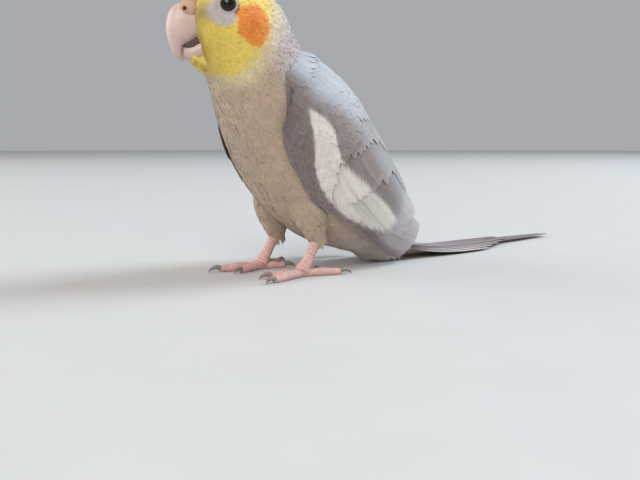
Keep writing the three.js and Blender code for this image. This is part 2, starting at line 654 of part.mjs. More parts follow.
function buildLegs() {
  for (const [name, side] of Object.entries(SIDES)) {
    const foot = footSolid(side).subtract(thighSolid(side, SEAM));
    const claws = TOES.map((toe) => clawSolid(side, toe).subtract(foot).subtract(floorBlock));
    const thigh = thighSolid(side).subtract(fleshRoom);
    add(`thigh_${name}`, largest(thigh), MATERIALS.body);
    add(`foot_${name}`, largest(foot.subtract(floorBlock)), MATERIALS.foot);
    TOES.forEach((toe, i) => add(`claw_${toe.name}_${name}`, largest(claws[i]), MATERIALS.claw));
  }
}

buildHead(partedFlesh());
buildWings();
add("tail", tailSolid, MATERIALS.tail);
buildLegs();

// The origin is on the floor under the middle of the whole bird.
const middle = new THREE.Box3().setFromObject(bird).getCenter(new THREE.Vector3());
for (const mesh of bird.children) mesh.geometry.translate(-middle.x, -middle.y, 0);

export default bird;
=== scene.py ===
"""A cockatiel, life size, on a pale floor: one skin, feathers, bill, eyes and feet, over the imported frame.

Shapes are worked out in millimetres in the bird's own frame, as the solids have them, and moved into the
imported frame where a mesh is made."""

import math
from dataclasses import dataclass

import bmesh
import bpy
import numpy as np
from mathutils import Matrix, Vector
from mathutils.kdtree import KDTree


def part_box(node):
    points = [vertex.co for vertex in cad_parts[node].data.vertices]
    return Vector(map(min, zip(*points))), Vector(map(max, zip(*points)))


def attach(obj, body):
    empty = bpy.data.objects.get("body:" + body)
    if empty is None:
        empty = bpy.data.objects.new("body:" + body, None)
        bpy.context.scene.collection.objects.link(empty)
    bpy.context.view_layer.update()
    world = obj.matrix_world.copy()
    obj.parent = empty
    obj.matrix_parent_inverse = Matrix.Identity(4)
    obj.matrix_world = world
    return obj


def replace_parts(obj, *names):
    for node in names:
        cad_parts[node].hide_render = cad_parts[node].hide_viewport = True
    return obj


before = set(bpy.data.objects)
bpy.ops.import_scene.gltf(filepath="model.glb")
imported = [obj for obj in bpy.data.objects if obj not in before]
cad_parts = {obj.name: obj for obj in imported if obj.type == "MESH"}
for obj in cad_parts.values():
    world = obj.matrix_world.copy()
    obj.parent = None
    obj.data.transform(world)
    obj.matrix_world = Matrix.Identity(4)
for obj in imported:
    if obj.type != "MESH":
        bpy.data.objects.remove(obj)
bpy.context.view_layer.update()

# Shape, in millimetres, as the solids have it
HEAD = np.array([-2.0, -23.3, 102.3])
HEAD_YAW = math.radians(22)
EYE_RADIUS = 3.6
EYE_AT = (2.9, 2.1, 10.9)
WING_LENGTH = 117.0
TAIL_LENGTH = 152.0
FOOT_SPREAD = 13.5
ANKLE = (8.5, 15.0)
KNEE = (10.5, 3.0, 34.0)
THIGH_RADII = (8.0, 7.2, 3.4)
UP = np.array([0.0, 0.0, 1.0])
SIDEWAYS = np.array([1.0, 0.0, 0.0])
FORWARD = np.array([-math.sin(HEAD_YAW), -math.cos(HEAD_YAW), 0.0])
LEFT = np.array([math.cos(HEAD_YAW), -math.sin(HEAD_YAW), 0.0])
SIDES = (("left", 1), ("right", -1))

# Body stations from the face to the rump: the top and the bottom of the profile, half width, share of the
# head's turn. A head place is (forward, up) from the head's middle; the others are (side, back, up).
STATIONS = [
    ((15.4, 1), (12.2, -11), 5.2, 1),
    ((13, 7.1), (10.8, -18.4), 9.6, 1),
    ((3.2, 12.4), (10.2, -21.6), 12.8, 1),
    ((-8.5, 11.6), (8.8, -24), 14.3, 0.95),
    ((3.9, -5, 107.6), (-4.2, -31, 75.8), 15.8, 0.75),
    ((3, 3.4, 94.5), (-2.6, -29.3, 71.2), 17.8, 0.45),
    ((1.1, 8.8, 85.7), (-0.9, -27.6, 65.5), 20.5, 0.15),
    ((0, 14.6, 76.9), (0, -20.8, 51), 23.5, 0),
    ((0, 24, 65.7), (0, -11.4, 34.9), 25, 0),
    ((0, 33.3, 53.3), (0, 1, 22), 24, 0),
    ((0, 40.8, 40.6), (0, 15.8, 12.7), 20.5, 0),
    ((0, 47.1, 28.8), (0, 30.9, 7.8), 15.5, 0),
    ((0, 53.9, 19.2), (0, 43.5, 4.4), 10.5, 0),
]
# Wing stations: back, up, half width, depth above, depth below.
WING_STATIONS = [
    (-9.8, 78.5, 22.4, 21.4, 25.5),
    (4.2, 62.5, 27, 26, 28.5),
    (18.6, 47, 28.2, 27, 30),
    (33.6, 32.4, 26.5, 25.5, 27.5),
    (48.8, 19.8, 22.5, 23, 24),
    (65.7, 10.6, 16.5, 18.5, 18),
]
TAIL_LINE = [(43, 16), (58, 8.4), (76, 3.4), (97, 1.2), (130, 0.6), (200, 0.6)]
# The wing's inner and lower edges, in degrees round it, at even steps along it.
WING_UPPER = (46, 27, 15, 9, 6, 12, 22)
WING_LOWER = (102, 130, 138, 136, 129, 118, 106)
CERE_AT, CERE_SIZE, NOSTRIL = (15.2, 0.9), (5.6, 4.2, 5.0), (17.9, 1.0, 4.5)
# The chin: its middle on the head, half width, depth and length, and how steeply it rises forward.
CHIN_AT, CHIN_SIZE, CHIN_RISE = (10.2, -19.4), (6.2, 2.4, 8.2), math.radians(36)
# Bill stations: the top and the bottom of the profile on the head, and half width.
UPPER_BILL = [
    ((11.5, 3.4), (11.2, -8.6), 5),
    ((18, 3.8), (14, -10.6), 4.9),
    ((22, 1.6), (16.2, -11.7), 4.6),
    ((23.9, -3), (17.8, -12.4), 4),
    ((23.9, -8.2), (18.4, -13.4), 3.1),
    ((22.5, -13.3), (18.4, -15.2), 2.1),
    ((20.8, -16.6), (18.2, -16.4), 1.4),
    ((18.4, -18.1), (17.6, -17.5), 0.6),
]
LOWER_BILL = [
    ((5, -7.6), (4.5, -15.8), 4.4),
    ((8.5, -8.4), (8, -16.8), 4.7),
    ((12, -9.6), (11, -17.6), 4.6),
    ((14.8, -11.3), (13.8, -18), 4.2),
    ((17, -12.2), (16, -17.7), 3.2),
    ((18.2, -13.3), (17.6, -16.9), 1.9),
]
MOUTH = [
    ((9, -7), (9, -12), 4),
    ((13, -8.6), (12.4, -13), 3.8),
    ((15.8, -10.2), (15, -14.4), 3.4),
    ((17.8, -11.6), (17, -13.6), 2.4),
]


# Curves and surfaces
def arrays(*values):
    """The values as arrays of one common shape."""
    return np.broadcast_arrays(*(np.asarray(v, float) for v in values))


def stacked(*values):
    """Values side by side along a last axis, spread out to their common shape."""
    return np.stack(arrays(*values), -1)


def around(count):
    """Angles at even steps round a circle, as a row."""
    return np.linspace(0, 2 * math.pi, count, endpoint=False)[None]
def spline(points):
    """A smooth curve through points, uniform in their index, for an array of indices."""
    p = np.asarray(points, float)
    ends = np.vstack([2 * p[0] - p[1], p, 2 * p[-1] - p[-2]])

    def at(index):
        t = np.clip(np.asarray(index, float), 0, len(p) - 1)
        i = np.minimum(t.astype(int), len(p) - 2)
        w = (t - i)[..., None]
        p0, p1, p2, p3 = ends[i], ends[i + 1], ends[i + 2], ends[i + 3]
        v0, v1 = (p2 - p0) / 2, (p3 - p1) / 2
        return (2 * p1 - 2 * p2 + v0 + v1) * w**3 + (3 * p2 - 3 * p1 - 2 * v0 - v1) * w**2 + v0 * w + p1

    return at
def curve(values):
    """A smooth curve through single values."""
    line = spline([[v] for v in values])
    return lambda index: line(index)[..., 0]
def unit(v):
    return v / np.maximum(np.linalg.norm(v, axis=-1, keepdims=True), 1e-9)


def on_head(forward, up, left):
    forward, up, left = (np.asarray(x, float)[..., None] for x in (forward, up, left))
    return HEAD + FORWARD * forward + LEFT * left + UP * up


def head_place(p):
    """Forward, up and left of the head's middle."""
    d = p - HEAD
    return d @ FORWARD, d @ UP, d @ LEFT


def place(at):
    return on_head(*at, 0) if len(at) == 2 else np.array(at, float)


body_top = spline([place(s[0]) for s in STATIONS])
body_bottom = spline([place(s[1]) for s in STATIONS])
body_width = spline([s[2:] for s in STATIONS])
LAST = len(STATIONS) - 1
STEP = 0.05  # of a station, to find which way a line runs
PAST = 11  # millimetres to a station past the last one


def on_body(station, angle, grow):
    """Points of the body: angle 0 is along its upper side and 90 its left. Past the rump it runs straight."""
    station, angle, grow = arrays(station, angle, grow)
    inside = np.clip(station, 0, LAST)
    top, bottom = body_top(inside), body_bottom(inside)
    wide, turned = np.moveaxis(body_width(inside), -1, 0)
    half = np.linalg.norm(top - bottom, axis=-1) / 2
    upper = unit(top - bottom)
    turn = HEAD_YAW * turned
    left = stacked(np.cos(turn), -np.sin(turn), 0)
    left = unit(left - upper * (left * upper).sum(-1, keepdims=True))
    back = np.cross(upper, left)
    return (
        (top + bottom) / 2
        + back * ((station - inside) * PAST)[..., None]
        + left * ((wide + grow) * np.sin(np.radians(angle)))[..., None]
        + upper * ((half + grow) * np.cos(np.radians(angle)))[..., None]
    )


wing_line = spline([(0, s[0], s[1]) for s in WING_STATIONS])
wing_size = spline([s[2:] for s in WING_STATIONS])
WING_LAST = len(WING_STATIONS) - 1


def on_wing(along, angle, height):
    """Points of the left wing's surface: millimetres along the wing, degrees round it, height off it."""
    along, angle, height = arrays(along, angle, height)
    at = along / WING_LENGTH * WING_LAST
    inside = np.clip(at, 0, WING_LAST)
    back = unit(wing_line(np.minimum(inside + STEP, WING_LAST)) - wing_line(np.maximum(inside - STEP, 0)))
    upper = np.cross(SIDEWAYS, back)
    wide, above, below = np.moveaxis(wing_size(inside), -1, 0)
    deep = np.where(angle < 90, above, below)
    return (
        wing_line(inside)
        + back * ((at - inside) * WING_LENGTH / WING_LAST)[..., None]
        + SIDEWAYS * ((wide + height) * np.sin(np.radians(angle)))[..., None]
        + upper * ((deep + height) * np.cos(np.radians(angle)))[..., None]
    )


tail_line = spline([(0, *s) for s in TAIL_LINE])
TAIL_STEPS = np.linspace(0, len(TAIL_LINE) - 1, 201)
TAIL_REACH = np.concatenate([[0], np.cumsum(np.linalg.norm(np.diff(tail_line(TAIL_STEPS), axis=0), axis=1))])


def on_tail(along, across, height):
    """Points over the tail's own sheet, which leaves the rump and comes down to lie along the floor."""
    along, across, height = arrays(along, across, height)
    inside = np.clip(along, 0, TAIL_REACH[-1])
    index = np.interp(inside, TAIL_REACH, TAIL_STEPS)
    back = unit(tail_line(index + STEP) - tail_line(index - STEP))
    upper = np.cross(SIDEWAYS, back)
    line = tail_line(index) + back * (along - inside)[..., None]
    return line + upper * height[..., None] + stacked(across, 0, 0)


# The frame's own shift from this bird's middle: the left eye's place is known in both.
eye_low, eye_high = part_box("eye_left")
SHIFT = np.array((eye_low + eye_high) / 2) * 1000 - on_head(*EYE_AT)
SHIFT[2] = 0

# Markings
rng = np.random.default_rng(7)


def colour(text):
    """A hex colour as linear light."""
    c = np.array([int(text[i : i + 2], 16) for i in (0, 2, 4)]) / 255
    return np.where(c <= 0.04045, c / 12.92, ((c + 0.055) / 1.055) ** 2.4)


YELLOW, YELLOW_PALE, OLIVE = colour("f2d468"), colour("efe0a0"), colour("b39a68")
ORANGE, ORANGE_DEEP = colour("ee8f3a"), colour("dc7826")
EYE_PATCH, CREAM = colour("ccc2c0"), colour("e2d2a6")
BREAST, BELLY, NAPE, UNDERTAIL = colour("c6af98"), colour("c0aa96"), colour("c4b4b4"), colour("d2c8bd")
# The mantle's bluish grey is partly the feathers' own grey and partly painted cool window light.
MANTLE_GREY_AND_WINDOW_LIGHT, RUMP, THIGH = colour("bcc0c8"), colour("b8afa8"), colour("b5a08b")
WING_GREY, WING_DARK, WING_WHITE = colour("8d807d"), colour("79686a"), colour("e8e0d8")
LAVENDER, FRINGE = colour("bdb4ba"), colour("cfc2b4")
TAIL_GREY, TAIL_DARK, TAIL_EDGE = colour("8d8288"), colour("6a5a5f"), colour("cdc5c0")
CREST_TIP = colour("b9ac90")
SKIN_PINK, SKIN_DEEP, LID_SKIN = colour("dcb0aa"), colour("b5827c"), colour("b9aea8")
# HORN_DARK is the claws' own dark tips, and also painted shade in the mouth, along the bill's slit and in the
# nostrils.
HORN, HORN_TIP, HORN_DARK = colour("d3b8ae"), colour("c3a89d"), colour("5d4640")
CERE_SKIN, CLAW_GREY = colour("cfa88a"), colour("8d8078")
EYE_BROWN, EYE_BLACK = colour("2c1810"), colour("060505")

# Marks of the head: forward and up of their middles, and their half sizes.
CHEEK_AT, CHEEK_SIZE = (-4.6, -4.2), (6.2, 7.6)
LORE_AT, LORE_SIZE = (11.6, -1.2), (4.6, 3.4)
RING_AT, RING_SIZE = (6.2, -0.7), (5.6, 5.2)
FACE_EDGE, FACE_RISE = -22.6, 9


def ease(low, high, x):
    t = np.clip((x - low) / (high - low), 0, 1)
    return t * t * (3 - 2 * t)


def mix(a, b, share):
    return a + (b - a) * np.asarray(share)[..., None]


def flesh_colour(p, station, angle):
    """The bird's colour at points of its head and body; the mantle's bluish tint is partly painted cool
    window light.
    """
    f, u, left = head_place(p)
    side = np.abs(left)
    lower = ease(60, 112, np.abs((angle + 180) % 360 - 180))
    # The back takes the mantle's bluish grey, which is partly painted cool window light.
    back = mix(NAPE, MANTLE_GREY_AND_WINDOW_LIGHT, ease(4.6, 6, station))
    back = mix(back, RUMP, ease(9, 11, station))
    front = mix(mix(BREAST, BELLY, ease(7.5, 10, station)), UNDERTAIL, ease(9.6, 11.5, station))
    c = mix(back, front, lower)
    # A cream zone behind the face runs out over the side of the neck.
    cream = ease(-30, -23, u) * ease(-23, -12, f + 0.45 * u) * ease(5.6, 4.6, station)
    c = mix(c, CREAM, 0.85 * cream)
    # The yellow face has a fairly sharp lower edge that rises towards the cheek.
    edge = FACE_EDGE + FACE_RISE * ease(1, -11, f)
    face = ease(-1.3, 1.3, u - edge) * ease(-15, -9, f + 0.3 * u) * ease(4.6, 3.8, station)
    c = mix(c, YELLOW, face)
    crown = ease(4, 9, u) * ease(-14, -5, f)
    c = mix(c, YELLOW_PALE, 0.8 * crown)
    lore = np.exp(-(((f - LORE_AT[0]) / LORE_SIZE[0]) ** 4) - ((u - LORE_AT[1]) / LORE_SIZE[1]) ** 2)
    c = mix(c, OLIVE, 0.9 * lore)
    ring = np.hypot((f - RING_AT[0]) / RING_SIZE[0], (u - RING_AT[1]) / RING_SIZE[1])
    c = mix(c, EYE_PATCH, ease(1.15, 0.7, ring) * ease(6, 9, side))
    ahead, above = f - CHEEK_AT[0], u - CHEEK_AT[1]
    cheek = np.hypot(ahead / CHEEK_SIZE[0], above / CHEEK_SIZE[1])
    wobble = 0.05 * np.sin(5 * np.arctan2(above, ahead) + 1.3)
    patch = mix(ORANGE, ORANGE_DEEP, ease(0.6, 0, cheek))
    return mix(c, patch, ease(1.1, 0.86, cheek + wobble) * ease(5, 8, side))


# The white patch of the wing lies between two edges, in degrees round the wing, at even steps along it.
PATCH_LOW = curve((103, 114, 124.5, 128.5, 128.5, 125.5, 120, 109))
PATCH_HIGH = curve((100, 96, 104, 104, 100.5, 97, 93.5, 93))
PATCH_FROM, PATCH_TO, PATCH_LAST = 13.5, 88.0, 7


def wing_colour(along, angle):
    """The wing's colour: grey-brown, with a pale bluish shoulder that is partly painted cool window light, a
    white patch and a pale lavender end.
    """
    # The shoulder takes the mantle's bluish grey far down the wing: partly the feathers' own grey, partly
    # painted cool window light.
    reach = 87 + 12 * ease(30, 10, along)
    share = ease(reach, reach - 22, angle) * (0.35 + 0.6 * ease(48, 20, along))
    c = mix(WING_GREY, MANTLE_GREY_AND_WINDOW_LIGHT, share)
    c = mix(c, WING_DARK, 0.7 * ease(100, 122, angle))
    c = mix(c, LAVENDER, 0.8 * ease(80, 94, along) * ease(126, 112, angle))
    index = (along - PATCH_FROM) / (PATCH_TO - PATCH_FROM) * PATCH_LAST
    inside = ease(-1.5, 1.0, PATCH_LOW(index) - angle) * ease(-2, 1.0, angle - PATCH_HIGH(index))
    inside = inside * ease(PATCH_FROM - 2, PATCH_FROM + 1, along) * ease(PATCH_TO + 3, PATCH_TO - 2, along)
    return mix(c, WING_WHITE, inside)


# Meshes
FLOOR_GAP = 0.02  # no point lies lower than this


def to_frame(p):
    return (p + SHIFT) / 1000


def on_floor(points):
    """Flattens what would reach below the floor."""
    points = points.copy()
    points[..., 2] = np.maximum(points[..., 2], FLOOR_GAP)
    return points


def make_mesh(name, verts, faces, material, colours, uvs=None, normals=None, rim=None):
    """A smooth piece that rides on the bird, from points in millimetres and quads.

    uvs maps a name to a pair a point, normals has one row for each corner of each quad, and rim tells the
    points of a folded edge."""
    used, quads = np.unique(np.asarray(faces), return_inverse=True)
    quads = quads.reshape(-1, 4).astype(np.int32)
    mesh = bpy.data.meshes.new(name)
    mesh.vertices.add(len(used))
    mesh.vertices.foreach_set("co", to_frame(np.asarray(verts, float)[used]).astype(np.float32).ravel())
    mesh.loops.add(quads.size)
    mesh.loops.foreach_set("vertex_index", quads.ravel())
    mesh.polygons.add(len(quads))
    mesh.polygons.foreach_set("loop_start", np.arange(0, quads.size, 4, dtype=np.int32))
    mesh.polygons.foreach_set("use_smooth", np.ones(len(quads), bool))
    mesh.update(calc_edges=True)
    for key, uv in (uvs or {}).items():
        layer = mesh.uv_layers.new(name=key)
        layer.data.foreach_set("uv", np.asarray(uv, np.float32)[used][quads.ravel()].ravel())
    layer = mesh.color_attributes.new("Col", "FLOAT_COLOR", "POINT")
    rgba = np.concatenate([np.asarray(colours)[used], np.ones((len(used), 1))], 1)
    layer.data.foreach_set("color", rgba.astype(np.float32).ravel())
    if normals is not None:
        ends = np.zeros(len(mesh.edges) * 2, np.int32)
        mesh.edges.foreach_get("vertices", ends)
        folded = rim[used][ends.reshape(-1, 2)].all(axis=1)
        mesh.attributes.new("sharp_edge", "BOOLEAN", "EDGE").data.foreach_set("value", folded)
        mesh.normals_split_custom_set(normals.astype(np.float32))
    piece = bpy.data.objects.new(name, mesh)
    bpy.context.scene.collection.objects.link(piece)
    mesh.materials.append(material)
    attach(piece, "root")
    return piece


def grid_faces(rows, cols, closed=False):
    """Quads of a grid of rows by cols points; closed joins each row's ends."""
    r, c = np.meshgrid(np.arange(rows - 1), np.arange(cols if closed else cols - 1), indexing="ij")
    a = r * cols + c
    b = r * cols + (c + 1) % cols
    return np.stack([a, b, b + cols, a + cols], -1).reshape(-1, 4)


def closed_rings(rings):
    """Points and quads of a tube of rings, (rows, sides, 3), with its ends drawn to a point."""
    rows, sides = rings.shape[:2]
    first, last = (np.broadcast_to(rings[i].mean(0), (1, sides, 3)) for i in (0, -1))
    return np.concatenate([first, rings, last]).reshape(-1, 3), grid_faces(rows + 2, sides, closed=True)


def loft_mesh(name, rings, material, colours):
    """A closed tube of rings, (rows, sides, 3), of one colour or of a colour for each point."""
    points, faces = closed_rings(rings)
    colours = np.broadcast_to(colours, rings.shape)
    shades = np.concatenate([colours[:1], colours, colours[-1:]]).reshape(-1, 3)
    out = np.cross(rings[1, 0] - rings[0, 0], rings[0, 1] - rings[0, 0]) @ (rings[0, 0] - rings[0].mean(0))
    return make_mesh(name, points, faces[:, ::-1] if out > 0 else faces, material, shades)


@dataclass
class Lie:
    """How a vane is made: points along and across it, and the rest in millimetres or as shares."""

    rows: int
    cols: int
    thick: float
    cup: float  # how far its middle stands above its edges
    fray: float  # how uneven its tip is, as a share of its length
    tilt: float = 0.0  # how far one edge stands above the other, for all or for each vane
    ridge: float = 0.0  # the height of its shaft
    # The under sheets are lighter: partly the paler underwing, partly painted light that lifts their shaded
    # undersides.
    pale: float = 1.0  # how much lighter its under side is


BAKE_PATCH = 0.003  # a vane's place on the unwrap, as a share of it
NEAR = 0.5  # to a point beside, to find which way a surface runs


def vane_faces(count, rim):
    """Quads of the top sheets, and of the under sheets, which share the points of the rim."""
    quads = grid_faces(*rim.shape)
    starts = (np.arange(count) * rim.size)[:, None, None]
    below = np.where(rim.ravel()[quads], 0, count * rim.size)
    return (quads + starts).reshape(-1, 4), (quads + below + starts).reshape(-1, 4)


def both_sheets(values):
    return np.concatenate([values.reshape(-1, values.shape[-1])] * 2)


def coat(name, surface, root, tip, wide, shape, lie, unwrap, shade, material, smoothed, slot):
    """One piece of many vanes laid on a surface(along, across, height), root and tip being (count, 3).

    Each vane is a thin lens: a top sheet and an under sheet that share their rim. unwrap gives each root's
    place on the skin's own unwrap, and shade(along, across, t, s) the colours. smoothed is how far the
    surface's own direction takes the place of each vane's."""
    count, rows, cols = len(root), lie.rows, lie.cols
    t = (np.linspace(0, 1, rows) ** 0.9)[None, :, None]
    s = np.linspace(-1, 1, cols)[None, None, :]
    share = curve(shape)(t * (len(shape) - 1))
    reach = t + lie.fray * rng.standard_normal((count, 1, cols)) * t**3
    start, run = root[:, None, None, :], (tip - root)[:, None, None, :]
    along = start[..., 0] + run[..., 0] * reach
    middle = start[..., 1] + run[..., 1] * reach
    height = start[..., 2] + run[..., 2] * t + 0 * s
    beside = surface(along, middle + NEAR, height) - surface(along, middle - NEAR, height)
    unit_wide = np.linalg.norm(beside, axis=-1)
    wide, tilt = (np.broadcast_to(value, count)[:, None, None] for value in (wide, lie.tilt))
    across = middle + wide * share * s / 2 / np.maximum(unit_wide, 1e-3)
    height = height + share * (tilt * s + lie.cup * (1 - s**2))
    height = height + lie.ridge * (np.abs(s) < 0.1) * (1 - t)
    top = surface(along, across, height)
    outward = unit(surface(along, across, height + NEAR) - top)
    rim = np.ones((rows, cols), bool)
    rim[:-1, 1:-1] = False
    under = top - outward * lie.thick * ~rim[..., None]

    own = np.cross(np.gradient(top, axis=1), np.gradient(top, axis=2))
    facing = np.sign((own * outward).sum())
    normals = unit(unit(own) * facing * (1 - smoothed) + outward * smoothed).reshape(-1, 3)
    tops, unders = vane_faces(count, rim)
    tops, unders = (tops[:, ::-1], unders) if facing > 0 else (tops, unders[:, ::-1])
    directions = np.concatenate([normals[tops.ravel()], -normals[unders.ravel() % len(normals)]])
    folded = np.concatenate([np.tile(rim.ravel(), count), np.zeros(len(normals), bool)])

    long = np.linalg.norm(top[:, -1, cols // 2] - top[:, 0, cols // 2], axis=-1)[:, None, None]
    u, v = (x[:, None, None] for x in unwrap)
    bake = stacked(u + s * BAKE_PATCH / 2, v + (t - 0.5) * BAKE_PATCH)
    uvs = {"OFBake": both_sheets(bake), "Barbs": both_sheets(stacked(s * wide * 0.05, t * long * 0.1))}
    shades = shade(along, across, *arrays(t, s, along)[:2]).reshape(-1, 3)
    # Under sheets lighter by lie.pale: partly their paler colour, partly painted light on the shaded
    # undersides.
    shades = np.concatenate([shades, np.minimum(shades * lie.pale, 0.9)])
    points = on_floor(np.concatenate([top.reshape(-1, 3), under.reshape(-1, 3)]))
    faces = np.concatenate([tops, unders])
    return make_mesh(name, points, faces, material, shades, uvs, directions, folded)


def anywhere(x, y, p):
    return np.isfinite(x)


CELLS, TRIES = 200, 4


def scatter(surface, along, across, spacing, keep=anywhere):
    """Places spread evenly over a surface, about spacing apart, where keep(along, across, point) is true."""
    u, v = np.linspace(*along, CELLS + 1), np.linspace(*across, CELLS + 1)
    grid = surface(u[:, None], v[None], 0.0)
    area = np.linalg.norm(np.cross(grid[1:, :-1] - grid[:-1, :-1], grid[:-1, 1:] - grid[:-1, :-1]), axis=-1)
    count = int(area.sum() / spacing**2 * TRIES)
    i, j = np.unravel_index(rng.choice(area.size, count, p=area.ravel() / area.sum()), area.shape)
    x = u[i] + rng.random(count) * (u[1] - u[0])
    y = v[j] + rng.random(count) * (v[1] - v[0])
    p = surface(x, y, 0.0)
    first = np.sort(np.unique(np.floor(p / (spacing * 1.2)).astype(int), axis=0, return_index=True)[1])
    x, y, p = x[first], y[first], p[first]
    chosen = keep(x, y, p)
    return x[chosen], y[chosen]


def vary(count, spread):
    """A shade for each vane, about 1."""
    return rng.normal(1, spread, (count, 1, 1, 1))


def inset(share):
    """A share of the unwrap, kept off its border."""
    return share * 0.96 + 0.02


# Materials
class Finish:
    """A node material, built by short calls: node(kind, inputs, settings) gives back the node."""

    def __init__(self, name, roughness, **sockets):
        self.material = bpy.data.materials.new(name)
        self.material.use_nodes = True
        self.tree = self.material.node_tree
        self.shader = next(n for n in self.tree.nodes if n.type == "BSDF_PRINCIPLED")
        self.shader.inputs["Roughness"].default_value = roughness
        for key, value in sockets.items():
            self.shader.inputs[key.replace("_", " ")].default_value = value
        self.place = self.node("ShaderNodeTexCoord").outputs["Object"]

    def node(self, kind, inputs=None, **settings):
        made = self.tree.nodes.new(kind)
        for key, value in settings.items():
            setattr(made, key, value)
        for key, value in (inputs or {}).items():
            socket = made.inputs[key]
            if isinstance(value, bpy.types.NodeSocket):
                self.tree.links.new(value, socket)
            else:
                socket.default_value = value
        return made

    def math(self, operation, *values):
        return self.node("ShaderNodeMath", dict(enumerate(values)), operation=operation).outputs[0]

    def fade(self, value, low, high, start, end):
        inputs = {"Value": value, "From Min": low, "From Max": high, "To Min": start, "To Max": end}
        return self.node("ShaderNodeMapRange", inputs).outputs[0]

    def noise(self, scale, detail, vector=None):
        inputs = {"Vector": vector or self.place, "Scale": scale, "Detail": detail}
        return self.node("ShaderNodeTexNoise", inputs).outputs["Fac"]

    def drawn_noise(self, scales, detail):
        """Noise that is drawn out along the axes of the smaller scales."""
        drawn = self.node("ShaderNodeVectorMath", {0: self.place, 1: scales}, operation="MULTIPLY")
        return self.noise(1.0, detail, drawn.outputs[0])

    def paint(self, base, *shades):
        """Links the base colour, multiplied by each shade value."""
        for value in shades:
            inputs = {0: 1.0, 6: base, 7: value}
            base = self.node("ShaderNodeMix", inputs, data_type="RGBA", blend_type="MULTIPLY").outputs[2]
        self.tree.links.new(base, self.shader.inputs["Base Color"])

    def bump(self, height, distance, strength=1.0):
        inputs = {"Height": height, "Distance": distance, "Strength": strength}
        self.tree.links.new(self.node("ShaderNodeBump", inputs).outputs[0], self.shader.inputs["Normal"])

    def own_colour(self):
        return self.node("ShaderNodeVertexColor", layer_name="Col").outputs["Color"]


def feather_finish(name, pitch, barb, shaft, sheen):
    """Feathers: barbs slant off a shaft, pitch centimetres apart, with soft streaks and a little sheen."""
    f = Finish(name, 0.72, Sheen_Weight=sheen, Sheen_Roughness=0.5, Specular_IOR_Level=0.25)
    uv = f.node("ShaderNodeUVMap", uv_map="Barbs").outputs[0]
    split = f.node("ShaderNodeSeparateXYZ", {"Vector": uv})
    across = f.math("ABSOLUTE", split.outputs[0])
    slant = f.math("SUBTRACT", split.outputs[1], f.math("MULTIPLY", across, 1.1))
    wave = f.math("SINE", f.math("MULTIPLY", slant, 2 * math.pi / pitch))
    streak = f.drawn_noise((1400, 1400, 500), 3.0)
    mottle = f.noise(160.0, 4.0)
    f.paint(
        f.own_colour(),
        f.fade(wave, -1, 1, 1 - barb, 1.0),
        f.fade(across, 0.0, 0.03, 1 - shaft, 1.0),
        f.fade(streak, 0.3, 0.7, 0.93, 1.04),
        f.fade(mottle, 0.3, 0.7, 0.95, 1.04),
    )
    f.bump(f.math("ADD", f.math("MULTIPLY", wave, 0.5), streak), 0.00012, 0.5)
    return f.material


def skin_finish():
    f = Finish("skin", 0.8, Sheen_Weight=0.2)
    fine = f.noise(1500.0, 4.0)
    f.paint(f.own_colour(), f.fade(fine, 0.3, 0.7, 0.8, 1.0))
    f.bump(fine, 0.0002)
    return f.material


def horn_finish():
    """Bill horn: thin growth lines, faint flaking and a low gloss."""
    gloss = dict(Coat_Weight=0.12, Coat_Roughness=0.3, Subsurface_Weight=0.12, Subsurface_Scale=0.002)
    f = Finish("horn", 0.42, **gloss)
    lines = f.drawn_noise((300, 300, 2200), 5.0)
    blotch = f.noise(260.0, 4.0)
    f.paint(f.own_colour(), f.fade(lines, 0.3, 0.7, 0.95, 1.03), f.fade(blotch, 0.3, 0.7, 0.9, 1.04))
    f.bump(f.math("ADD", lines, blotch), 0.0001, 0.4)
    return f.material


def bare_finish(name, scale, roughness):
    """Bare skin with small rounded scales."""
    f = Finish(name, roughness, Subsurface_Weight=0.1, Subsurface_Scale=0.002)
    cells = f.node("ShaderNodeTexVoronoi", {"Vector": f.place, "Scale": scale}).outputs["Distance"]
    blotch = f.noise(300.0, 4.0)
    f.paint(f.own_colour(), f.fade(cells, 0.2, 0.8, 1.03, 0.8), f.fade(blotch, 0.3, 0.7, 0.9, 1.05))
    f.bump(f.math("SUBTRACT", 1.0, cells), 0.00018, 0.7)
    return f.material


def eye_finish():
    f = Finish("eye", 0.08, Coat_Weight=0.3, Coat_Roughness=0.02, Specular_IOR_Level=0.2)
    fibres = f.noise(2500.0, 5.0)
    f.paint(f.own_colour(), f.fade(fibres, 0.3, 0.7, 0.7, 1.2))
    return f.material


FLIGHT = feather_finish("flight_feathers", 0.06, 0.06, 0.24, 0.15)
COVERT = feather_finish("covert_feathers", 0.06, 0.05, 0.08, 0.2)
DOWN = feather_finish("body_feathers", 0.04, 0.03, 0.0, 0.3)
SKIN, BILL_HORN, EYE = skin_finish(), horn_finish(), eye_finish()
FOOT, CERE_FINISH = bare_finish("foot_skin", 1300.0, 0.6), bare_finish("cere", 2400.0, 0.55)
CLAW = horn_finish()


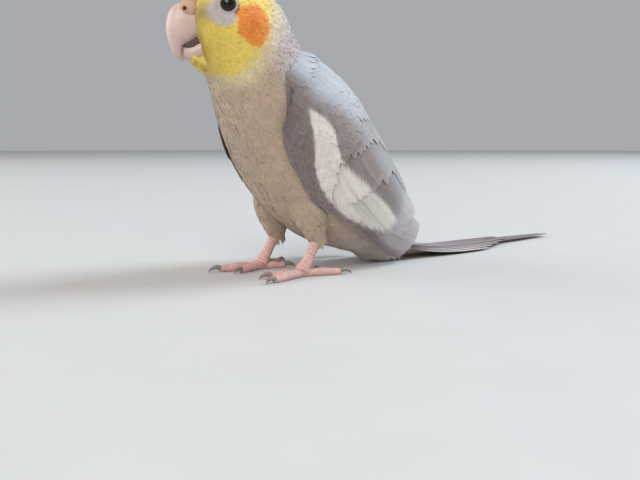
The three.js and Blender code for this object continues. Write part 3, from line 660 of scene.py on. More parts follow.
# Skin
def tube_rings(points, radii, steps, sides, relief=None):
    """Rings of a round tube through points, with the share of its length and the angle at each place.

    relief(length share, angle) adds to its radius."""
    path, width = spline(points), curve(radii)
    last = len(points) - 1
    at = np.linspace(0, last, steps)
    centre = path(at)
    along = unit(path(np.minimum(at + 0.1, last)) - path(np.maximum(at - 0.1, 0)))
    level = np.cross(UP, along)
    level = np.where(np.linalg.norm(level, axis=-1, keepdims=True) < 0.2, SIDEWAYS, level)
    level = unit(level - along * (level * along).sum(-1, keepdims=True))
    upright = np.cross(along, level)
    t, angle = arrays(np.linspace(0, 1, steps)[:, None], around(sides))
    radius = width(at)[:, None] + (relief(t, angle) if relief else 0 * angle)
    out = level[:, None] * np.cos(angle)[..., None] + upright[:, None] * np.sin(angle)[..., None]
    return centre[:, None] + out * radius[..., None], t, angle


def thigh_line(side):
    knee = np.array([side * KNEE[0], KNEE[1], KNEE[2]])
    ankle = np.array([side * FOOT_SPREAD, ANKLE[0] + 0.5, ANKLE[1] - 1.5])
    return np.array([knee, (knee + ankle) / 2, ankle])


def on_thigh(side):
    line = thigh_line(side)
    path, width, last = spline(line), curve(THIGH_RADII), len(line) - 1
    run = unit(line[-1] - line[0])
    out = unit(SIDEWAYS * side - run * run[0] * side)
    front = np.cross(run, out)
    front = front * np.sign(-front[1])

    def surface(along, angle, height):
        """along is 0 at the knee and 2 at the ankle; angle 0 is outward and 90 forward."""
        along, angle, height = arrays(along, angle, height)
        inside = np.clip(along, 0, last)
        turn = np.radians(angle)
        way = out * np.cos(turn)[..., None] + front * np.sin(turn)[..., None]
        beyond = run * ((along - inside) * PAST)[..., None]
        return path(inside) + beyond + way * (width(inside) + height)[..., None]

    return surface


CHIN_AHEAD = FORWARD * math.cos(CHIN_RISE) + UP * math.sin(CHIN_RISE)
CHIN_OVER = np.cross(CHIN_AHEAD, LEFT)


def on_chin(along, angle, height):
    """The chin under the bill: along is millimetres back from its front, and angle 180 is its underside."""
    along, angle, height = arrays(along, angle, height)
    wide, deep, long = CHIN_SIZE
    polar, turn = along / long, np.radians(angle)
    return (
        on_head(*CHIN_AT, 0)
        + CHIN_AHEAD * ((long + height) * np.cos(polar))[..., None]
        + LEFT * ((wide + height) * np.sin(turn) * np.sin(polar))[..., None]
        + CHIN_OVER * ((deep + height) * np.cos(turn) * np.sin(polar))[..., None]
    )


COAT_DEPTH = curve((0.7, 0.7, 0.8, 0.9, 1.2, 1.5, 1.7, 1.8, 1.8, 1.8, 1.7, 1.5, 1.3))
THIGH_DEPTH, CHIN_DEPTH = 1.2, 0.9
# The skin takes the coat's colours, darkened by a share: painted shade for where it shows between the
# feathers.
SKIN_CELL, SKIN_PAINTED_SHADE = 0.9, 0.82


def joined(tubes):
    """Points and quads of one closed skin over tubes of rings."""
    rough = bpy.data.meshes.new("rough")
    points, faces, start = [], [], 0
    for rings in tubes:
        own_points, own_faces = closed_rings(rings)
        points.append(own_points)
        faces.append(own_faces + start)
        start += len(own_points)
    rough.from_pydata(np.concatenate(points).tolist(), [], np.concatenate(faces).tolist())
    bm = bmesh.new()
    bm.from_mesh(rough)
    bmesh.ops.remove_doubles(bm, verts=bm.verts, dist=1e-4)
    bmesh.ops.recalc_face_normals(bm, faces=bm.faces)
    bm.to_mesh(rough)
    bm.free()
    holder = bpy.data.objects.new("rough", rough)
    bpy.context.scene.collection.objects.link(holder)
    remesh = holder.modifiers.new("join", "REMESH")
    remesh.mode, remesh.voxel_size = "VOXEL", SKIN_CELL
    soften = holder.modifiers.new("soften", "SMOOTH")
    soften.iterations, soften.factor = 6, 0.5
    done = holder.evaluated_get(bpy.context.evaluated_depsgraph_get()).to_mesh()
    verts = np.zeros(len(done.vertices) * 3)
    done.vertices.foreach_get("co", verts)
    quads = np.zeros(len(done.loops), np.int32)
    done.loops.foreach_get("vertex_index", quads)
    bpy.data.objects.remove(holder)
    return verts.reshape(-1, 3), quads.reshape(-1, 4)


def build_skin():
    """One closed skin for head, neck, torso and thighs, coloured by the nearest place of the body."""
    station, angle = np.linspace(0, LAST, 150)[:, None], np.linspace(0, 360, 120, endpoint=False)[None]
    body = on_body(station, angle, -COAT_DEPTH(station))
    radii = [r - THIGH_DEPTH for r in THIGH_RADII]
    thighs = [tube_rings(thigh_line(side), radii, 24, 32)[0] for _, side in SIDES]
    chin = on_chin(np.linspace(0.3, 3.0, 16)[:, None] * CHIN_SIZE[2], angle[:, ::4], -CHIN_DEPTH)
    verts, quads = joined((body, chin, *thighs))
    places = KDTree(body.shape[0] * body.shape[1])
    for n, p in enumerate(body.reshape(-1, 3)):
        places.insert(p, n)
    places.balance()
    nearest = np.array([places.find(p)[1] for p in verts])
    at, turn = (x.ravel()[nearest] for x in arrays(station, angle))
    # Painted shade: the skin is darker than the coat above it.
    shades = flesh_colour(verts, at, turn) * SKIN_PAINTED_SHADE
    piece = make_mesh("skin", verts, quads, SKIN, shades)
    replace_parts(piece, "head", "neck", "torso", "thigh_left", "thigh_right")


build_skin()


# Coat
EYE_CLEAR, LID_CLEAR, FLOOR_CLEAR = 4.1, 4.3, 1.3
REACH_STEPS, TURN_STEP = 281, 5


def eye_distance(p):
    """Millimetres from the nearer eye's middle, over the side of the head."""
    f, u, left = head_place(p)
    away = np.hypot(f - EYE_AT[0] - 0.4, u - EYE_AT[1])
    return np.where(np.abs(left) > 5, away, 99)


def on_bill(p):
    """Whether a place of the face lies under the bill or the cere."""
    f, u, left = head_place(p)
    side = np.abs(left)
    bill = (f > 10) & (side < 4.9) & (u < 4) & (u > -17.2)
    cere = np.hypot(left / 5.7, (u - CERE_AT[1]) / 4.3) < 1
    return bill | ((f > 11.5) & cere)


def feathered(station, angle, p):
    """Whether feathers show at a place: off the bill, off the eye and off what the folded wings hide."""
    side = np.abs((angle + 180) % 360 - 180)
    off_wing = (station < 7.2) | (station > 10.4) | (side < 62) | (side > 84)
    return off_wing & (eye_distance(p) > EYE_CLEAR) & ~on_bill(p)


def reach_tables():
    """Millimetres along the body's surface from its first station, at even turns round it."""
    stations, turns = np.linspace(0, LAST + 2, REACH_STEPS), np.arange(0, 361, TURN_STEP)
    steps = np.linalg.norm(np.diff(on_body(stations[:, None], turns[None], 0.0), axis=0), axis=-1)
    return stations, np.concatenate([np.zeros((1, len(turns))), np.cumsum(steps, axis=0)])


REACH_STATIONS, REACH_LENGTHS = reach_tables()


def stations_ahead(station, angle, reach):
    """The station reached by going reach millimetres along the surface."""
    column = np.round((angle % 360) / TURN_STEP).astype(int)
    found = np.zeros_like(station)
    for c in np.unique(column):
        here = column == c
        start = np.interp(station[here], REACH_STATIONS, REACH_LENGTHS[:, c])
        found[here] = np.interp(start + reach[here], REACH_LENGTHS[:, c], REACH_STATIONS)
    return found


SOFT_TIP = (0.6, 1, 1, 0.85, 0.45)
SMALL = Lie(rows=4, cols=3, thick=0.04, cup=0.04, fray=0.14)
LARGE = Lie(rows=5, cols=5, thick=0.04, cup=0.05, fray=0.14)
# How long and how wide the body's feathers are at each station.
FEATHER_LONG = curve((2.2, 2.4, 2.8, 3.4, 4.4, 6, 7.5, 8.5, 9, 9, 9, 9, 9))
FEATHER_WIDE = curve((0.8, 0.9, 1.1, 1.3, 1.8, 2.4, 3, 3.4, 3.6, 3.6, 3.6, 3.6, 3.6))
# Pieces of the coat: stations, degrees round the body, millimetres between feathers, how they lie, slot.
COATS = {
    "coat_face": ((0, 2.6), (0, 360), 0.5, SMALL, "head_feathers"),
    "coat_head": ((2.6, 4.4), (0, 360), 0.62, SMALL, "head_feathers"),
    "coat_neck": ((4.4, 5.5), (0, 360), 0.8, LARGE, "body_feathers"),
    "coat_shoulders": ((5.5, 6.6), (0, 360), 0.8, LARGE, "body_feathers"),
    "coat_breast": ((6.6, 8.8), (90, 270), 1.1, LARGE, "body_feathers"),
    "coat_belly": ((8.8, LAST + 0.6), (90, 270), 1.1, LARGE, "body_feathers"),
    "coat_back": ((6.6, LAST + 0.6), (-90, 90), 1.2, LARGE, "body_feathers"),
}


def build_coat(name, stations, angles, spacing, lie, slot):
    s, a = scatter(on_body, stations, angles, spacing, feathered)
    grow = rng.uniform(0.85, 1.15, len(s))
    reach = FEATHER_LONG(s) * grow
    # Feathers in front of the eye stop short of the lid, and those of the belly short of the floor.
    ahead = eye_distance(on_body(stations_ahead(s, a, reach), a, 0.0))
    reach = np.where(ahead < LID_CLEAR, reach * 0.5, reach)
    for _ in range(5):
        low = on_body(stations_ahead(s, a, reach), a, 0.0)[:, 2] < FLOOR_CLEAR
        reach = np.where(low, reach * 0.7, reach)
    root = stacked(s, a, -0.5 * COAT_DEPTH(s))
    sway = rng.normal(0, 4.4, len(s)) * np.minimum(reach / 8, 1)
    tip = stacked(stations_ahead(s, a, reach), a + sway, rng.uniform(-0.05, 0.08, len(s)))
    own = 1 + rng.normal(0, 1, (len(s), 1, 1, 1)) * (0.03 + 0.03 * ease(7, 10, s))[:, None, None, None]

    def shade(along, across, t, edge):
        at = along * 0.5 + s[:, None, None] * 0.5
        turn = across * 0.5 + a[:, None, None] * 0.5
        c = flesh_colour(on_body(at, turn, 0.0), at, turn)
        # Darker towards the root, which lies under the next feathers: partly the feather's own greyer base,
        # partly painted shade.
        return c * own * (0.9 + 0.12 * t + 0.02 * edge**2)[..., None]

    unwrap = inset((a % 360) / 360), inset(np.clip(s / (LAST + 1), 0, 1))
    coat(name, on_body, root, tip, FEATHER_WIDE(s) * grow, SOFT_TIP, lie, unwrap, shade, DOWN, 0.92, slot)


def build_chin():
    x, y = scatter(on_chin, (1.5, 16), (75, 285), 0.5, lambda x, y, p: p[:, 2] < HEAD[2] - 15)

    def sunk(along):
        """How far the chin's sides sink into the throat towards its back."""
        return 2.0 * ease(3, 12, along) * ease(15, 55, np.abs(y - 180))

    end = x + rng.uniform(2.6, 4, len(x))
    root = stacked(x, y, -0.35 - sunk(x))
    tip = stacked(end, y + rng.normal(0, 6, len(x)), rng.uniform(-0.05, 0.1, len(x)) - sunk(end))
    own = vary(len(x), 0.035)

    def shade(along, across, t, edge):
        c = flesh_colour(on_chin(along, across, 0.0), np.ones_like(along), across)
        # Darker towards the root, which lies under the next feathers: partly the feather's own greyer base,
        # partly painted shade.
        return c * own * (0.9 + 0.12 * t)[..., None]

    unwrap = inset(y / 360), x / 60 + 0.02
    lie = Lie(rows=4, cols=3, thick=0.05, cup=0.05, fray=0.14)
    coat("coat_chin", on_chin, root, tip, 0.9, SOFT_TIP, lie, unwrap, shade, DOWN, 0.82, "head_feathers")


def build_thigh(name, side):
    surface = on_thigh(side)
    along, angle = scatter(surface, (0.0, 1.9), (0, 360), 1.0)
    step = np.linalg.norm(surface(along + 0.1, angle, 0.0) - surface(along - 0.1, angle, 0.0), axis=-1) / 0.2
    reach = rng.uniform(4.5, 6.5, len(along)) * (1 - 0.25 * along / 2)
    end = np.minimum(along + reach / step, 2.25)
    root = stacked(along, angle, -0.6)
    tip = stacked(end, angle + rng.normal(0, 6, len(along)), rng.uniform(-0.12, 0.15, len(along)))
    own = vary(len(along), 0.035)

    def shade(x, y, t, edge):
        # Darker towards the root, which lies under the next feathers: partly the feather's own greyer base,
        # partly painted shade.
        return THIGH * own * (0.84 + 0.2 * t)[..., None]

    unwrap = inset(angle / 360), inset(along / 2)
    lie = Lie(rows=5, cols=3, thick=0.05, cup=0.06, fray=0.14)
    wide = 2.2 - 0.5 * along
    coat(name, surface, root, tip, wide, SOFT_TIP, lie, unwrap, shade, DOWN, 0.88, "body_feathers")


for name, settings in COATS.items():
    build_coat(name, *settings)
build_chin()
for side_name, side in SIDES:
    build_thigh(f"coat_thigh_{side_name}", side)


# Wings
def on_left_wing(along, angle, height):
    """The wing's surface with its inner edge drawn down onto the back and its front end into the neck."""
    inner = 3.4 * ease(42, 14, angle) * ease(100, 70, along)
    sunk = inner + 2.0 * ease(2, -4, along) + 0.4 * ease(124, 136, angle)
    return on_wing(along, angle, height - sunk)


def on_right_wing(along, angle, height):
    return on_left_wing(along, angle, height) * np.array([-1.0, 1, 1])


TAPERED, ROUNDED, BLUNT = (0.5, 0.85, 1, 0.95, 0.6), (0.6, 0.95, 1, 0.62), (0.55, 0.9, 1, 1, 0.85)
# The flight feathers' and small coverts' under sheets are lighter: partly the paler underwing, partly painted
# light.
FLIGHT_LIE = Lie(rows=16, cols=9, thick=0.16, tilt=0.16, cup=0.2, fray=0.016, ridge=0.08, pale=2.0)
SCAPULAR_LIE = Lie(rows=12, cols=7, thick=0.12, tilt=0.14, cup=0.2, fray=0.02, ridge=0.04)
LESSER_LIE = Lie(rows=7, cols=5, thick=0.08, cup=0.14, fray=0.06, pale=1.5)
# Rows of wing feathers, from the lowest to the topmost: how many, the first and last root and the first and
# last tip as (along, degrees), width, height at root and tip, shape, and how far each is all of one colour.
ROWS = {
    "primaries": (9, ((49, 123), (60, 96)), ((110, 117), (118, 76)), 8, (0.1, 0.3), BLUNT, 0.05),
    "secondaries": (10, ((50, 104), (62, 62)), ((99, 96), (109, 50)), 9, (0.3, 0.6), TAPERED, 0.08),
    "tertials": (5, ((50, 50), (56, 16)), ((92, 44), (103, 15)), 12, (0.4, 0.85), TAPERED, 0.1),
    "primary_coverts": (7, ((12, 108), (34, 131)), ((36, 126), (68, 125)), 8.5, (0.3, 0.8), ROUNDED, 0.15),
    "greater_coverts": (12, ((26, 114), (38, 42)), ((56, 127), (72, 48)), 10.5, (0.5, 0.85), ROUNDED, 0.12),
    "median_coverts": (12, ((14, 110), (24, 48)), ((34, 122), (50, 52)), 9, (0.7, 1.1), ROUNDED, 0.2),
}
# Rows of seven scapulars over the shoulder: the first and last root, length, height at root and tip.
SCAPULARS = [
    (((2, 44), (6, 20)), 24, -2.5, 1.6),
    (((14, 52), (24, 16)), 26, 0.5, 1.4),
    (((30, 46), (40, 14)), 32, 0.5, 1.2),
]


def between(ends, count):
    """Places spread evenly from one end to the other."""
    t = np.linspace(0, 1, count)[:, None]
    return np.array(ends[0]) * (1 - t) + np.array(ends[1]) * t


def vane_shade(root, tip, plain, fringe, dark):
    """A wing feather's shades; plain is how far it is all of one colour."""
    own = vary(len(root), 0.03)
    place_along, place_round, _ = (0.2 * root + 0.8 * tip).T[:, :, None, None]

    def shade(along, across, t, edge):
        at = along * (1 - plain) + place_along * plain
        turn = across * (1 - plain) + place_round * plain
        rim = np.maximum(ease(0.6, 1.0, np.abs(edge)), ease(0.88, 1.0, t))
        c = mix(wing_colour(at, turn), FRINGE, fringe * rim)
        # Darker towards the root, which lies under the coverts and the next feathers: partly the feather's
        # own greyer base, partly painted shade.
        return c * own * (0.82 + 0.22 * t - dark * (1 - np.abs(edge)))[..., None]

    return shade


def on_shoulder(along, angle, p):
    """Where the small coverts of the shoulder and the front edge grow."""
    end = 30 - 4.4 * ease(95, 70, angle) + 14 * ease(105, 135, angle)
    return (along < end) & (angle < 96 + 35 * ease(-2, 16, along))


def build_wing(side_name, surface):
    def add(name, root, tip, wide, shape, lie, material, smoothed, plain=0.25, fringe=0.0, dark=0.0):
        name = f"{name}_{side_name}"
        unwrap = np.clip(root[:, 0] / 125 + 0.04, 0, 1), np.clip(root[:, 1] / 180, 0, 1)
        shade = vane_shade(root, tip, plain, fringe, dark)
        coat(name, surface, root, tip, wide, shape, lie, unwrap, shade, material, smoothed, "wing_feathers")

    for name, (count, roots, tips, wide, high, shape, plain) in ROWS.items():
        tip = between(tips, count)
        tip = tip + rng.normal(0, 1, tip.shape) * np.array([1.2, 0.6])
        root = stacked(*between(roots, count).T, high[0])
        tip = stacked(*tip.T, high[1] + rng.normal(0, 0.08, count))
        add(name, root, tip, wide, shape, FLIGHT_LIE, FLIGHT, 0.25, plain, 0.25, 0.05)
    for n, (roots, long, low, high) in enumerate(SCAPULARS):
        root = between(roots, 7)
        tip = root + np.array([long, 0]) + rng.normal(0, 1, root.shape) * np.array([1.0, 0.8])
        root, tip = stacked(*root.T, low), stacked(*tip.T, high)
        add(f"scapulars_{n}", root, tip, 9.0, ROUNDED, SCAPULAR_LIE, COVERT, 0.5, fringe=0.2)
    x, y = scatter(surface, (-3, 44), (20, 142), 1.35, on_shoulder)
    size = 0.8 + 0.5 * ease(0, 34, x)
    level = 0.2 + 1.1 * ease(-3, 14, x)
    root = stacked(x, y, level - 1.6 * ease(4, -3, x))
    turn = y + rng.normal(0, 1.5, len(x)) + 5 * ease(90, 125, y)
    tip = stacked(x + 8.5 * size, turn, level + rng.uniform(0.5, 0.8, len(x)))
    add("lesser_coverts", root, tip, 4.4 * size, SOFT_TIP, LESSER_LIE, COVERT, 0.78, fringe=0.12)


WING_SUNK, WING_THICK, WING_SHARE = 0.7, 4.2, 0.86


def wing_base(side_name, surface):
    """The closed sheet under the wing's feathers, thinner towards its end; painted shade darkens its top, and
    its paler under side is partly painted light.
    """
    share = np.linspace(0, 1, 60)[:, None]
    step = share * (len(WING_UPPER) - 1)
    low, high = curve(WING_LOWER)(step), curve(WING_UPPER)(step)
    along, angle = arrays(share * WING_LENGTH * WING_SHARE, high + (low - high) * np.linspace(0, 1, 30)[None])
    top = surface(along, angle, -WING_SUNK)
    bottom = surface(along, angle, -WING_SUNK - WING_THICK * (1 - 0.75 * share))
    rings = np.concatenate([top, bottom[:, ::-1]], 1)
    # Painted shade: the top sheet, under the feathers, is darker than the wing. Its under side is lighter,
    # partly the underwing's paler grey, partly painted light.
    shades = wing_colour(along, angle) * 0.75
    shades = np.concatenate([shades, shades[:, ::-1] * 1.5], 1)
    return loft_mesh(f"wing_base_{side_name}", rings, SKIN, shades)


for side_name, surface in (("left", on_left_wing), ("right", on_right_wing)):
    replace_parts(wing_base(side_name, surface), f"wing_{side_name}")
    build_wing(side_name, surface)


# Tail
TAIL_SHAPE = (0.5, 0.8, 1, 0.9, 0.4)
TAIL_PAIRS, TAIL_OUTER, TAIL_SHORT = 6, 118, 82
TAIL_LIE = Lie(rows=30, cols=9, thick=0.3, cup=0.3, fray=0.01, ridge=0.25)
ROOT_FROM, ROOT_TO = 2, 50


def build_tail():
    """Six pairs of feathers, the long middle pair topmost and each next pair shorter and farther out."""
    pair = np.repeat(np.arange(TAIL_PAIRS), 2)
    side = np.tile([1.0, -1.0], TAIL_PAIRS)
    out = pair / (TAIL_PAIRS - 1)
    long = np.where(pair == 0, TAIL_LENGTH, TAIL_OUTER + (TAIL_SHORT - TAIL_OUTER) * out)
    root = stacked(4.0, side * (1.2 + 3.0 * out), 2.9 - 2.8 * out + 0.05 * side)
    high = np.where(pair == 0, 0.9, 2.6 - 2.2 * out) + 0.05 * side
    tip = stacked(long, side * (1.4 + 11.6 * out), high)
    own = vary(len(root), 0.03)

    def shade(along, across, t, edge):
        c = mix(TAIL_GREY, TAIL_DARK, ease(0.1, 0.9, t) * 0.8)
        c = mix(c, TAIL_EDGE, out[:, None, None] * ease(0.2, 0.7, edge * side[:, None, None]))
        return c * own * (0.95 + 0.1 * np.abs(edge))[..., None]

    unwrap = root[:, 1] / 30 + 0.5, 0.1 + 0.02 * pair
    settings = TAIL_SHAPE, TAIL_LIE, unwrap, shade, FLIGHT, 0.2, "tail_feathers"
    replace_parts(coat("tail_feathers", on_tail, root, tip, 8.5 + 2.5 * out, *settings), "tail")


def on_tail_root(along, angle, height):
    """The root of the tail as a tapered block: angle 0 is its upper side."""
    along, angle, height = arrays(along, angle, height)
    t = np.clip((along - ROOT_FROM) / (ROOT_TO - ROOT_FROM), 0, 1)
    turn = np.radians(angle)
    deep = np.where(np.cos(turn) > 0, 5.5 - 2.9 * t, 6 - 5.2 * t)
    return on_tail(along, (9 - 4 * t + height) * np.sin(turn), (deep + height) * np.cos(turn))


def build_tail_root():
    along, angle = np.linspace(ROOT_FROM, ROOT_TO, 40)[:, None], np.linspace(0, 360, 40, endpoint=False)[None]
    # The block under the tail coverts is darker than the rump: painted shade beneath the coverts.
    loft_mesh("tail_root", on_tail_root(along, angle, -0.9), SKIN, RUMP * 0.8)
    x, y = scatter(on_tail_root, (ROOT_FROM, 44), (0, 360), 1.7, lambda x, y, p: p[:, 2] > 0.8)
    reach = rng.uniform(11, 16, len(x)) * (0.7 + 0.5 * ease(4, 40, x))
    root = stacked(x, y, -1.2)
    tip = stacked(x + reach, y + rng.normal(0, 3, len(x)), rng.uniform(-0.1, 0.5, len(x)))
    own = vary(len(x), 0.03)

    def shade(a, b, t, edge):
        under = ease(70, 110, np.abs((b + 180) % 360 - 180))
        c = mix(mix(RUMP, TAIL_GREY, ease(20, 60, a)), BELLY, under)
        # Darker towards the root, which lies under the next feathers: partly the feather's own greyer base,
        # partly painted shade.
        return c * own * (0.85 + 0.2 * t)[..., None]

    lie = Lie(rows=7, cols=5, thick=0.1, cup=0.2, fray=0.06)
    unwrap = inset((y % 360) / 360), x / 60 + 0.02
    settings = lie, unwrap, shade, COVERT, 0.6, "tail_feathers"
    coat("tail_coverts", on_tail_root, root, tip, 4.6, SOFT_TIP, *settings)


build_tail()
build_tail_root()


# Crest: each feather's root forward and up, length, degrees that it rises, and width.
CREST = [
    (9.5, 8.4, 17, 50, 3.6),
    (7.2, 9.6, 24, 47, 3.8),
    (4.8, 10.6, 31, 43, 3.8),
    (2.4, 11, 38, 38, 3.6),
    (0.2, 11, 43, 33, 3.4),
    (-2, 10.8, 36, 25, 3.2),
    (-4, 10.2, 27, 17, 3),
]
CREST_COUNT, CREST_CURL, CREST_TILT, CREST_SPREAD = 30, 15, 1.1, 2.6
CREST_SHAPE = (0.7, 1, 0.95, 0.7, 0.2)


def build_crest():
    forward, up, long, lift, wide = spline(CREST)(np.linspace(0, len(CREST) - 1, CREST_COUNT)).T
    left = rng.uniform(-CREST_SPREAD, CREST_SPREAD, CREST_COUNT)
    long = long * rng.uniform(0.8, 1.0, CREST_COUNT)
    lift = lift + rng.normal(0, 2.5, CREST_COUNT)

    def surface(along, across, height):
        """Each feather's own sheet, which curls up towards its tip."""
        f, u, aside, reach, rise = (v[:, None, None] for v in (forward, up, left, long, lift))
        t = along / reach
        turn = np.radians(rise + CREST_CURL * t * t)
        return on_head(
            f - along * np.cos(turn) + height * np.sin(turn),
            u + along * np.sin(turn) + height * np.cos(turn),
            aside * (1 + t) + across,
        )

    root, tip = stacked(np.full(CREST_COUNT, -3.5), 0, -0.6), stacked(long, 0, -0.2)
    own = vary(CREST_COUNT, 0.04)

    def shade(along, across, t, edge):
        c = mix(YELLOW_PALE, CREST_TIP, ease(0.3, 0.95, t) * 0.8)
        # Darker towards the root, which lies under the head feathers: partly the feather's own greyer base,
        # partly painted shade.
        return c * own * (0.86 + 0.12 * t)[..., None]

    tilt = CREST_TILT * np.sign(left)
    lie = Lie(rows=16, cols=5, thick=0.15, tilt=tilt, cup=0.3, fray=0.03, ridge=0.1)
    unwrap = left / 12 + 0.5, np.linspace(0.1, 0.3, CREST_COUNT)
    settings = lie, unwrap, shade, COVERT, 0.2, "head_feathers"
    coat("crest", surface, root, tip, wide * 0.8, CREST_SHAPE, *settings)


build_crest()


# Eyes
def build_eye(side_name, side):
    """An eye whose clear front bulges a little beyond the ball, in a soft ring of small folds."""
    out = unit(LEFT * side + FORWARD * 0.22)
    across = unit(np.cross(UP, out))
    up = np.cross(out, across)
    centre = on_head(EYE_AT[0], EYE_AT[1], side * EYE_AT[2])
    polar, turn = np.linspace(0.02, math.pi - 0.02, 40)[:, None, None], around(48)[..., None]
    bulge = 1 + 0.06 * np.exp(-((polar / 0.5) ** 2))
    way = across * np.sin(polar) * np.cos(turn) + up * np.sin(polar) * np.sin(turn)
    rings = centre + (way + out * 0.8 * np.cos(polar) * bulge) * EYE_RADIUS
    shades = mix(EYE_BLACK, EYE_BROWN, ease(0.42, 0.5, np.sin(polar[..., 0])))
    name = f"eye_{side_name}"
    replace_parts(loft_mesh(name, rings, EYE, shades), name)
    phi, theta = around(96).T, around(24)
    thick = 0.62 + 0.05 * np.sin(30 * phi) + 0.1 * np.sin(phi) ** 2
    reach = EYE_RADIUS - 0.3 + thick * np.cos(theta)
    points = (
        centre
        + out * 1.55
        + (across * np.cos(phi)[..., None] + up * (np.sin(phi) * 0.94)[..., None]) * reach[..., None]
        + out * (thick * 0.8 * np.sin(theta))[..., None]
    )
    faces = grid_faces(phi.size + 1, theta.size, closed=True) % reach.size
    # The lids' inner side, in the fold against the eye, is darker: painted shade.
    shades = mix(LID_SKIN, SKIN_DEEP * 0.5, 0.5 * ease(-0.2, -1, np.cos(theta)) + 0 * phi).reshape(-1, 3)
    make_mesh(f"lids_{side_name}", points.reshape(-1, 3), faces, CERE_FINISH, shades)


for side_name, side in SIDES:
    build_eye(side_name, side)


# Bill
def bill_rings(stations, rows, sides):
    """Rings along the bill, with the station and the sine of the angle at each of their points."""
    top, bottom = (spline([on_head(*s[n], 0) for s in stations]) for n in (0, 1))
    at = np.linspace(0, len(stations) - 1, rows)
    wide = curve([s[2] for s in stations])(at)[:, None]
    a, b = top(at), bottom(at)
    half = np.linalg.norm(a - b, axis=-1)[:, None] / 2
    turn = around(sides)
    pinch = 1 - 0.1 * np.maximum(np.sin(turn), 0) ** 2
    side = (wide * np.cos(turn) * pinch)[..., None] * LEFT
    rings = ((a + b) / 2)[:, None] + side + (half * np.sin(turn))[..., None] * unit(a - b)[:, None]
    return rings, *arrays(at[:, None], np.sin(turn))


def build_bill():
    """Two halves of pinkish horn with a dark mouth between them, its darkness painted shadow in the slit."""
    # The mouth between the halves is a dark loft: painted shadow in the slit.
    loft_mesh("mouth", bill_rings(MOUTH, 24, 32)[0], SKIN, HORN_DARK * 0.9)
    rings, at, rise = bill_rings(UPPER_BILL, 60, 56)
    # The upper bill's underside, along the slit, is darkened: painted shade.
    shades = mix(mix(HORN, HORN_TIP, ease(3, 6, at) * 0.7), HORN_DARK, ease(-0.86, -0.99, rise) * 0.8)
    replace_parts(loft_mesh("bill_upper_horn", rings, BILL_HORN, shades), "bill_upper")
    rings, at, rise = bill_rings(LOWER_BILL, 40, 56)
    # The lower bill's upper side, along the slit, is darkened: painted shade.
    shades = mix(mix(HORN, HORN_TIP, 0.25), HORN_DARK, ease(0.86, 0.99, rise) * 0.85)
    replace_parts(loft_mesh("bill_lower_horn", rings, BILL_HORN, shades), "bill_lower")


def build_cere():
    """The cere over the bill's root, with a nostril on each side sunk into it under a low rim."""
    polar, turn = np.linspace(0.03, math.pi - 0.03, 70)[:, None], around(90)
    left = CERE_SIZE[0] * np.sin(polar) * np.cos(turn)
    up = CERE_SIZE[1] * np.sin(polar) * np.sin(turn)
    forward = CERE_SIZE[2] * np.cos(polar) + 0 * turn
    ahead, above = forward + CERE_AT[0] - NOSTRIL[0], up + CERE_AT[1] - NOSTRIL[1]
    away = np.sqrt(ahead**2 + above**2 + (np.abs(left) - NOSTRIL[2]) ** 2)
    hole = np.exp(-((away / 0.85) ** 4))
    rim = np.exp(-(((away - 1.25) / 0.4) ** 2))
    scale = 1 - 0.17 * hole + 0.05 * rim
    rings = on_head(CERE_AT[0] + forward * scale, CERE_AT[1] + up * scale, left * scale)
    # The nostrils' pits are painted dark: painted shadow in the holes.
    shades = mix(CERE_SKIN, HORN_DARK * 0.25, ease(0.15, 0.6, hole))
    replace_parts(loft_mesh("cere_skin", rings, CERE_FINISH, shades), "cere")


build_bill()
build_cere()


# Feet: each toe's length, the degrees it heads outward from straight ahead, and its radius.
TOES = {
    "outer_front": (19, 14, 1.75),
    "inner_front": (14, -16, 1.6),
    "outer_back": (17, 158, 1.65),
    "inner_back": (11, 200, 1.5),
}
# Along a toe: shares of its length, and its height and girth there in radii.
PAD_AT, PAD_UP, PAD_GIRTH = (0, 0.28, 0.52, 0.76, 1), (1, 0.85, 0.95, 0.75, 0.8), (1.15, 1, 1.08, 0.95, 0.8)
SHANK_RADII, SHANK_PLATES, PAD_HEIGHT = (2.3, 2.1, 2.9), 9, 2.2
CLAW_RADII, CLAW_LENGTH = (1.1, 0.95, 0.55, 0.12), 5.6


def scutes(count, depth):
    """Plates across the upper side of a toe or shank, with low beads elsewhere."""

    def relief(t, angle):
        saw = (t * count) % 1
        plate = depth * (np.sqrt(np.clip(1 - saw, 0, 1)) - 0.5)
        beads = 0.35 * depth * np.sin(t * count * 4 * math.pi) * np.sin(angle * 7)
        upper = ease(-0.1, 0.5, np.sin(angle))
        return plate * upper + beads * (1 - upper)

    return relief


def foot_shade(count, t, angle):
    # Darker in the creases between plates, partly the skin's own deeper colour and partly painted shade, and
    # darker on the underside: painted shade.
    crease = ease(0.75, 1.0, (t * count) % 1) * ease(-0.1, 0.5, np.sin(angle))
    return mix(SKIN_PINK, SKIN_DEEP, 0.7 * crease + 0.15 * ease(0.2, -0.8, np.sin(angle)))


def build_claw(name, start, way, radius):
    places = ((0, radius * 0.9), (0.4, radius * 1.25), (0.8, radius * 0.85), (1, 0.35))
    line = [start + way * CLAW_LENGTH * at + UP * up for at, up in places]
    rings, t, _ = tube_rings(line, CLAW_RADII, 30, 24)
    shades = mix(CLAW_GREY, HORN_DARK, 0.6 * ease(0.3, 1, t))
    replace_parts(loft_mesh(f"nail_{name}", on_floor(rings), CLAW, shades), f"claw_{name}")


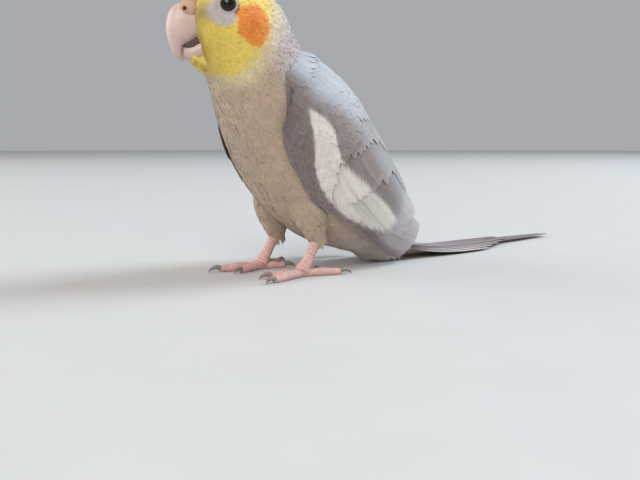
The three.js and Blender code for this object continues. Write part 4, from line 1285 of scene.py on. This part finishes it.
def build_foot(side_name, side):
    centre = np.array([side * FOOT_SPREAD, 0, 0])
    places = (ANKLE, (ANKLE[0] * 0.45, ANKLE[1] * 0.5), (0, PAD_HEIGHT))
    line = [centre + np.array([0, back, up]) for back, up in places]
    rings, t, angle = tube_rings(line, SHANK_RADII, 60, 40, scutes(SHANK_PLATES, 0.14))
    shades = foot_shade(SHANK_PLATES, t, angle)
    shank = loft_mesh(f"shank_{side_name}", on_floor(rings), FOOT, shades)
    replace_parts(shank, f"foot_{side_name}")
    for toe, (long, heading, radius) in TOES.items():
        name = f"{toe}_{side_name}"
        way = np.array([side * math.sin(math.radians(heading)), -math.cos(math.radians(heading)), 0])
        points = [centre + way * long * at + UP * radius * up for at, up in zip(PAD_AT, PAD_UP)]
        plates = round(long / 1.5)
        rings, t, angle = tube_rings(points, [radius * g for g in PAD_GIRTH], 70, 32, scutes(plates, 0.12))
        # The toe's end is drawn in round the claw.
        end = ease(0.93, 1.0, t)[..., None] * 0.45
        rings = rings + (rings.mean(1, keepdims=True) - rings) * end
        loft_mesh(f"toe_{name}", on_floor(rings), FOOT, foot_shade(plates, t, angle))
        build_claw(name, centre + way * (long - 1), way, radius)


for side_name, side in SIDES:
    build_foot(side_name, side)


# Stage, light and camera
CAMERA_TURN, CAMERA_RISE, CAMERA_AWAY, LENS = math.radians(48), math.radians(7), 340.0, 46
TARGET = np.array([10.0, 13.0, 13.5])
FLOOR_RADIUS, FLOOR_SIDES, FLOOR_COLOUR = 4, 96, (0.55, 0.54, 0.53, 1)
SKY_COLOUR, SKY_STRENGTH = (0.93, 0.95, 1.0, 1), 0.42
LIGHT_AIM = np.array([0.0, 0, 60])
# Lights: place in millimetres, width in metres, power and tint.
LIGHTS = {
    "key": ((1250, -1750, 1875), 1.75, 49, (1, 0.96, 0.91)),
    "window": ((750, 2125, 1875), 1.5, 81, (0.78, 0.91, 1)),
    "fill": ((-1750, -1250, 750), 2.2, 30, (1, 0.96, 0.92)),
}


def build_stage():
    f = Finish("pale_floor", 0.6)
    plain = f.node("ShaderNodeRGB").outputs[0]
    plain.default_value = FLOOR_COLOUR
    f.paint(plain, f.fade(f.noise(40.0, 5.0), 0.3, 0.7, 0.97, 1.0))
    mesh = bpy.data.meshes.new("floor")
    turn = around(FLOOR_SIDES)[0]
    points = FLOOR_RADIUS * stacked(np.cos(turn), np.sin(turn), 0)
    mesh.from_pydata(points.tolist(), [], [list(range(FLOOR_SIDES))])
    mesh.materials.append(f.material)
    floor = bpy.data.objects.new("floor", mesh)
    bpy.context.scene.collection.objects.link(floor)
    world = bpy.data.worlds.new("studio")
    world.use_nodes = True
    sky = world.node_tree.nodes["Background"]
    sky.inputs["Color"].default_value = SKY_COLOUR
    sky.inputs["Strength"].default_value = SKY_STRENGTH
    bpy.context.scene.world = world


def soft_light(name, at, size, power, tint):
    light = bpy.data.lights.new(name, "AREA")
    light.shape, light.size, light.energy, light.color = "DISK", size, power, tint
    lamp = bpy.data.objects.new(name, light)
    bpy.context.scene.collection.objects.link(lamp)
    lamp.location = Vector(to_frame(np.array(at, float)))
    lamp.rotation_euler = (Vector(to_frame(LIGHT_AIM)) - lamp.location).to_track_quat("-Z", "Y").to_euler()


def build_camera():
    level = math.cos(CAMERA_RISE)
    back = np.array(
        [math.sin(CAMERA_TURN) * level, -math.cos(CAMERA_TURN) * level, math.sin(CAMERA_RISE)]
    )
    right = np.array([math.cos(CAMERA_TURN), math.sin(CAMERA_TURN), 0])
    up = np.cross(back, right)
    camera = bpy.data.cameras.new("camera")
    camera.lens, camera.sensor_width, camera.clip_start = LENS, 36, 0.01
    holder = bpy.data.objects.new("camera", camera)
    bpy.context.scene.collection.objects.link(holder)
    place = to_frame(TARGET + back * CAMERA_AWAY)
    holder.matrix_world = Matrix([[right[i], up[i], back[i], place[i]] for i in range(3)] + [[0, 0, 0, 1]])
    bpy.context.scene.camera = holder


build_stage()
for name, settings in LIGHTS.items():
    soft_light(name, *settings)
build_camera()
bpy.context.scene.view_settings.view_transform = "Standard"
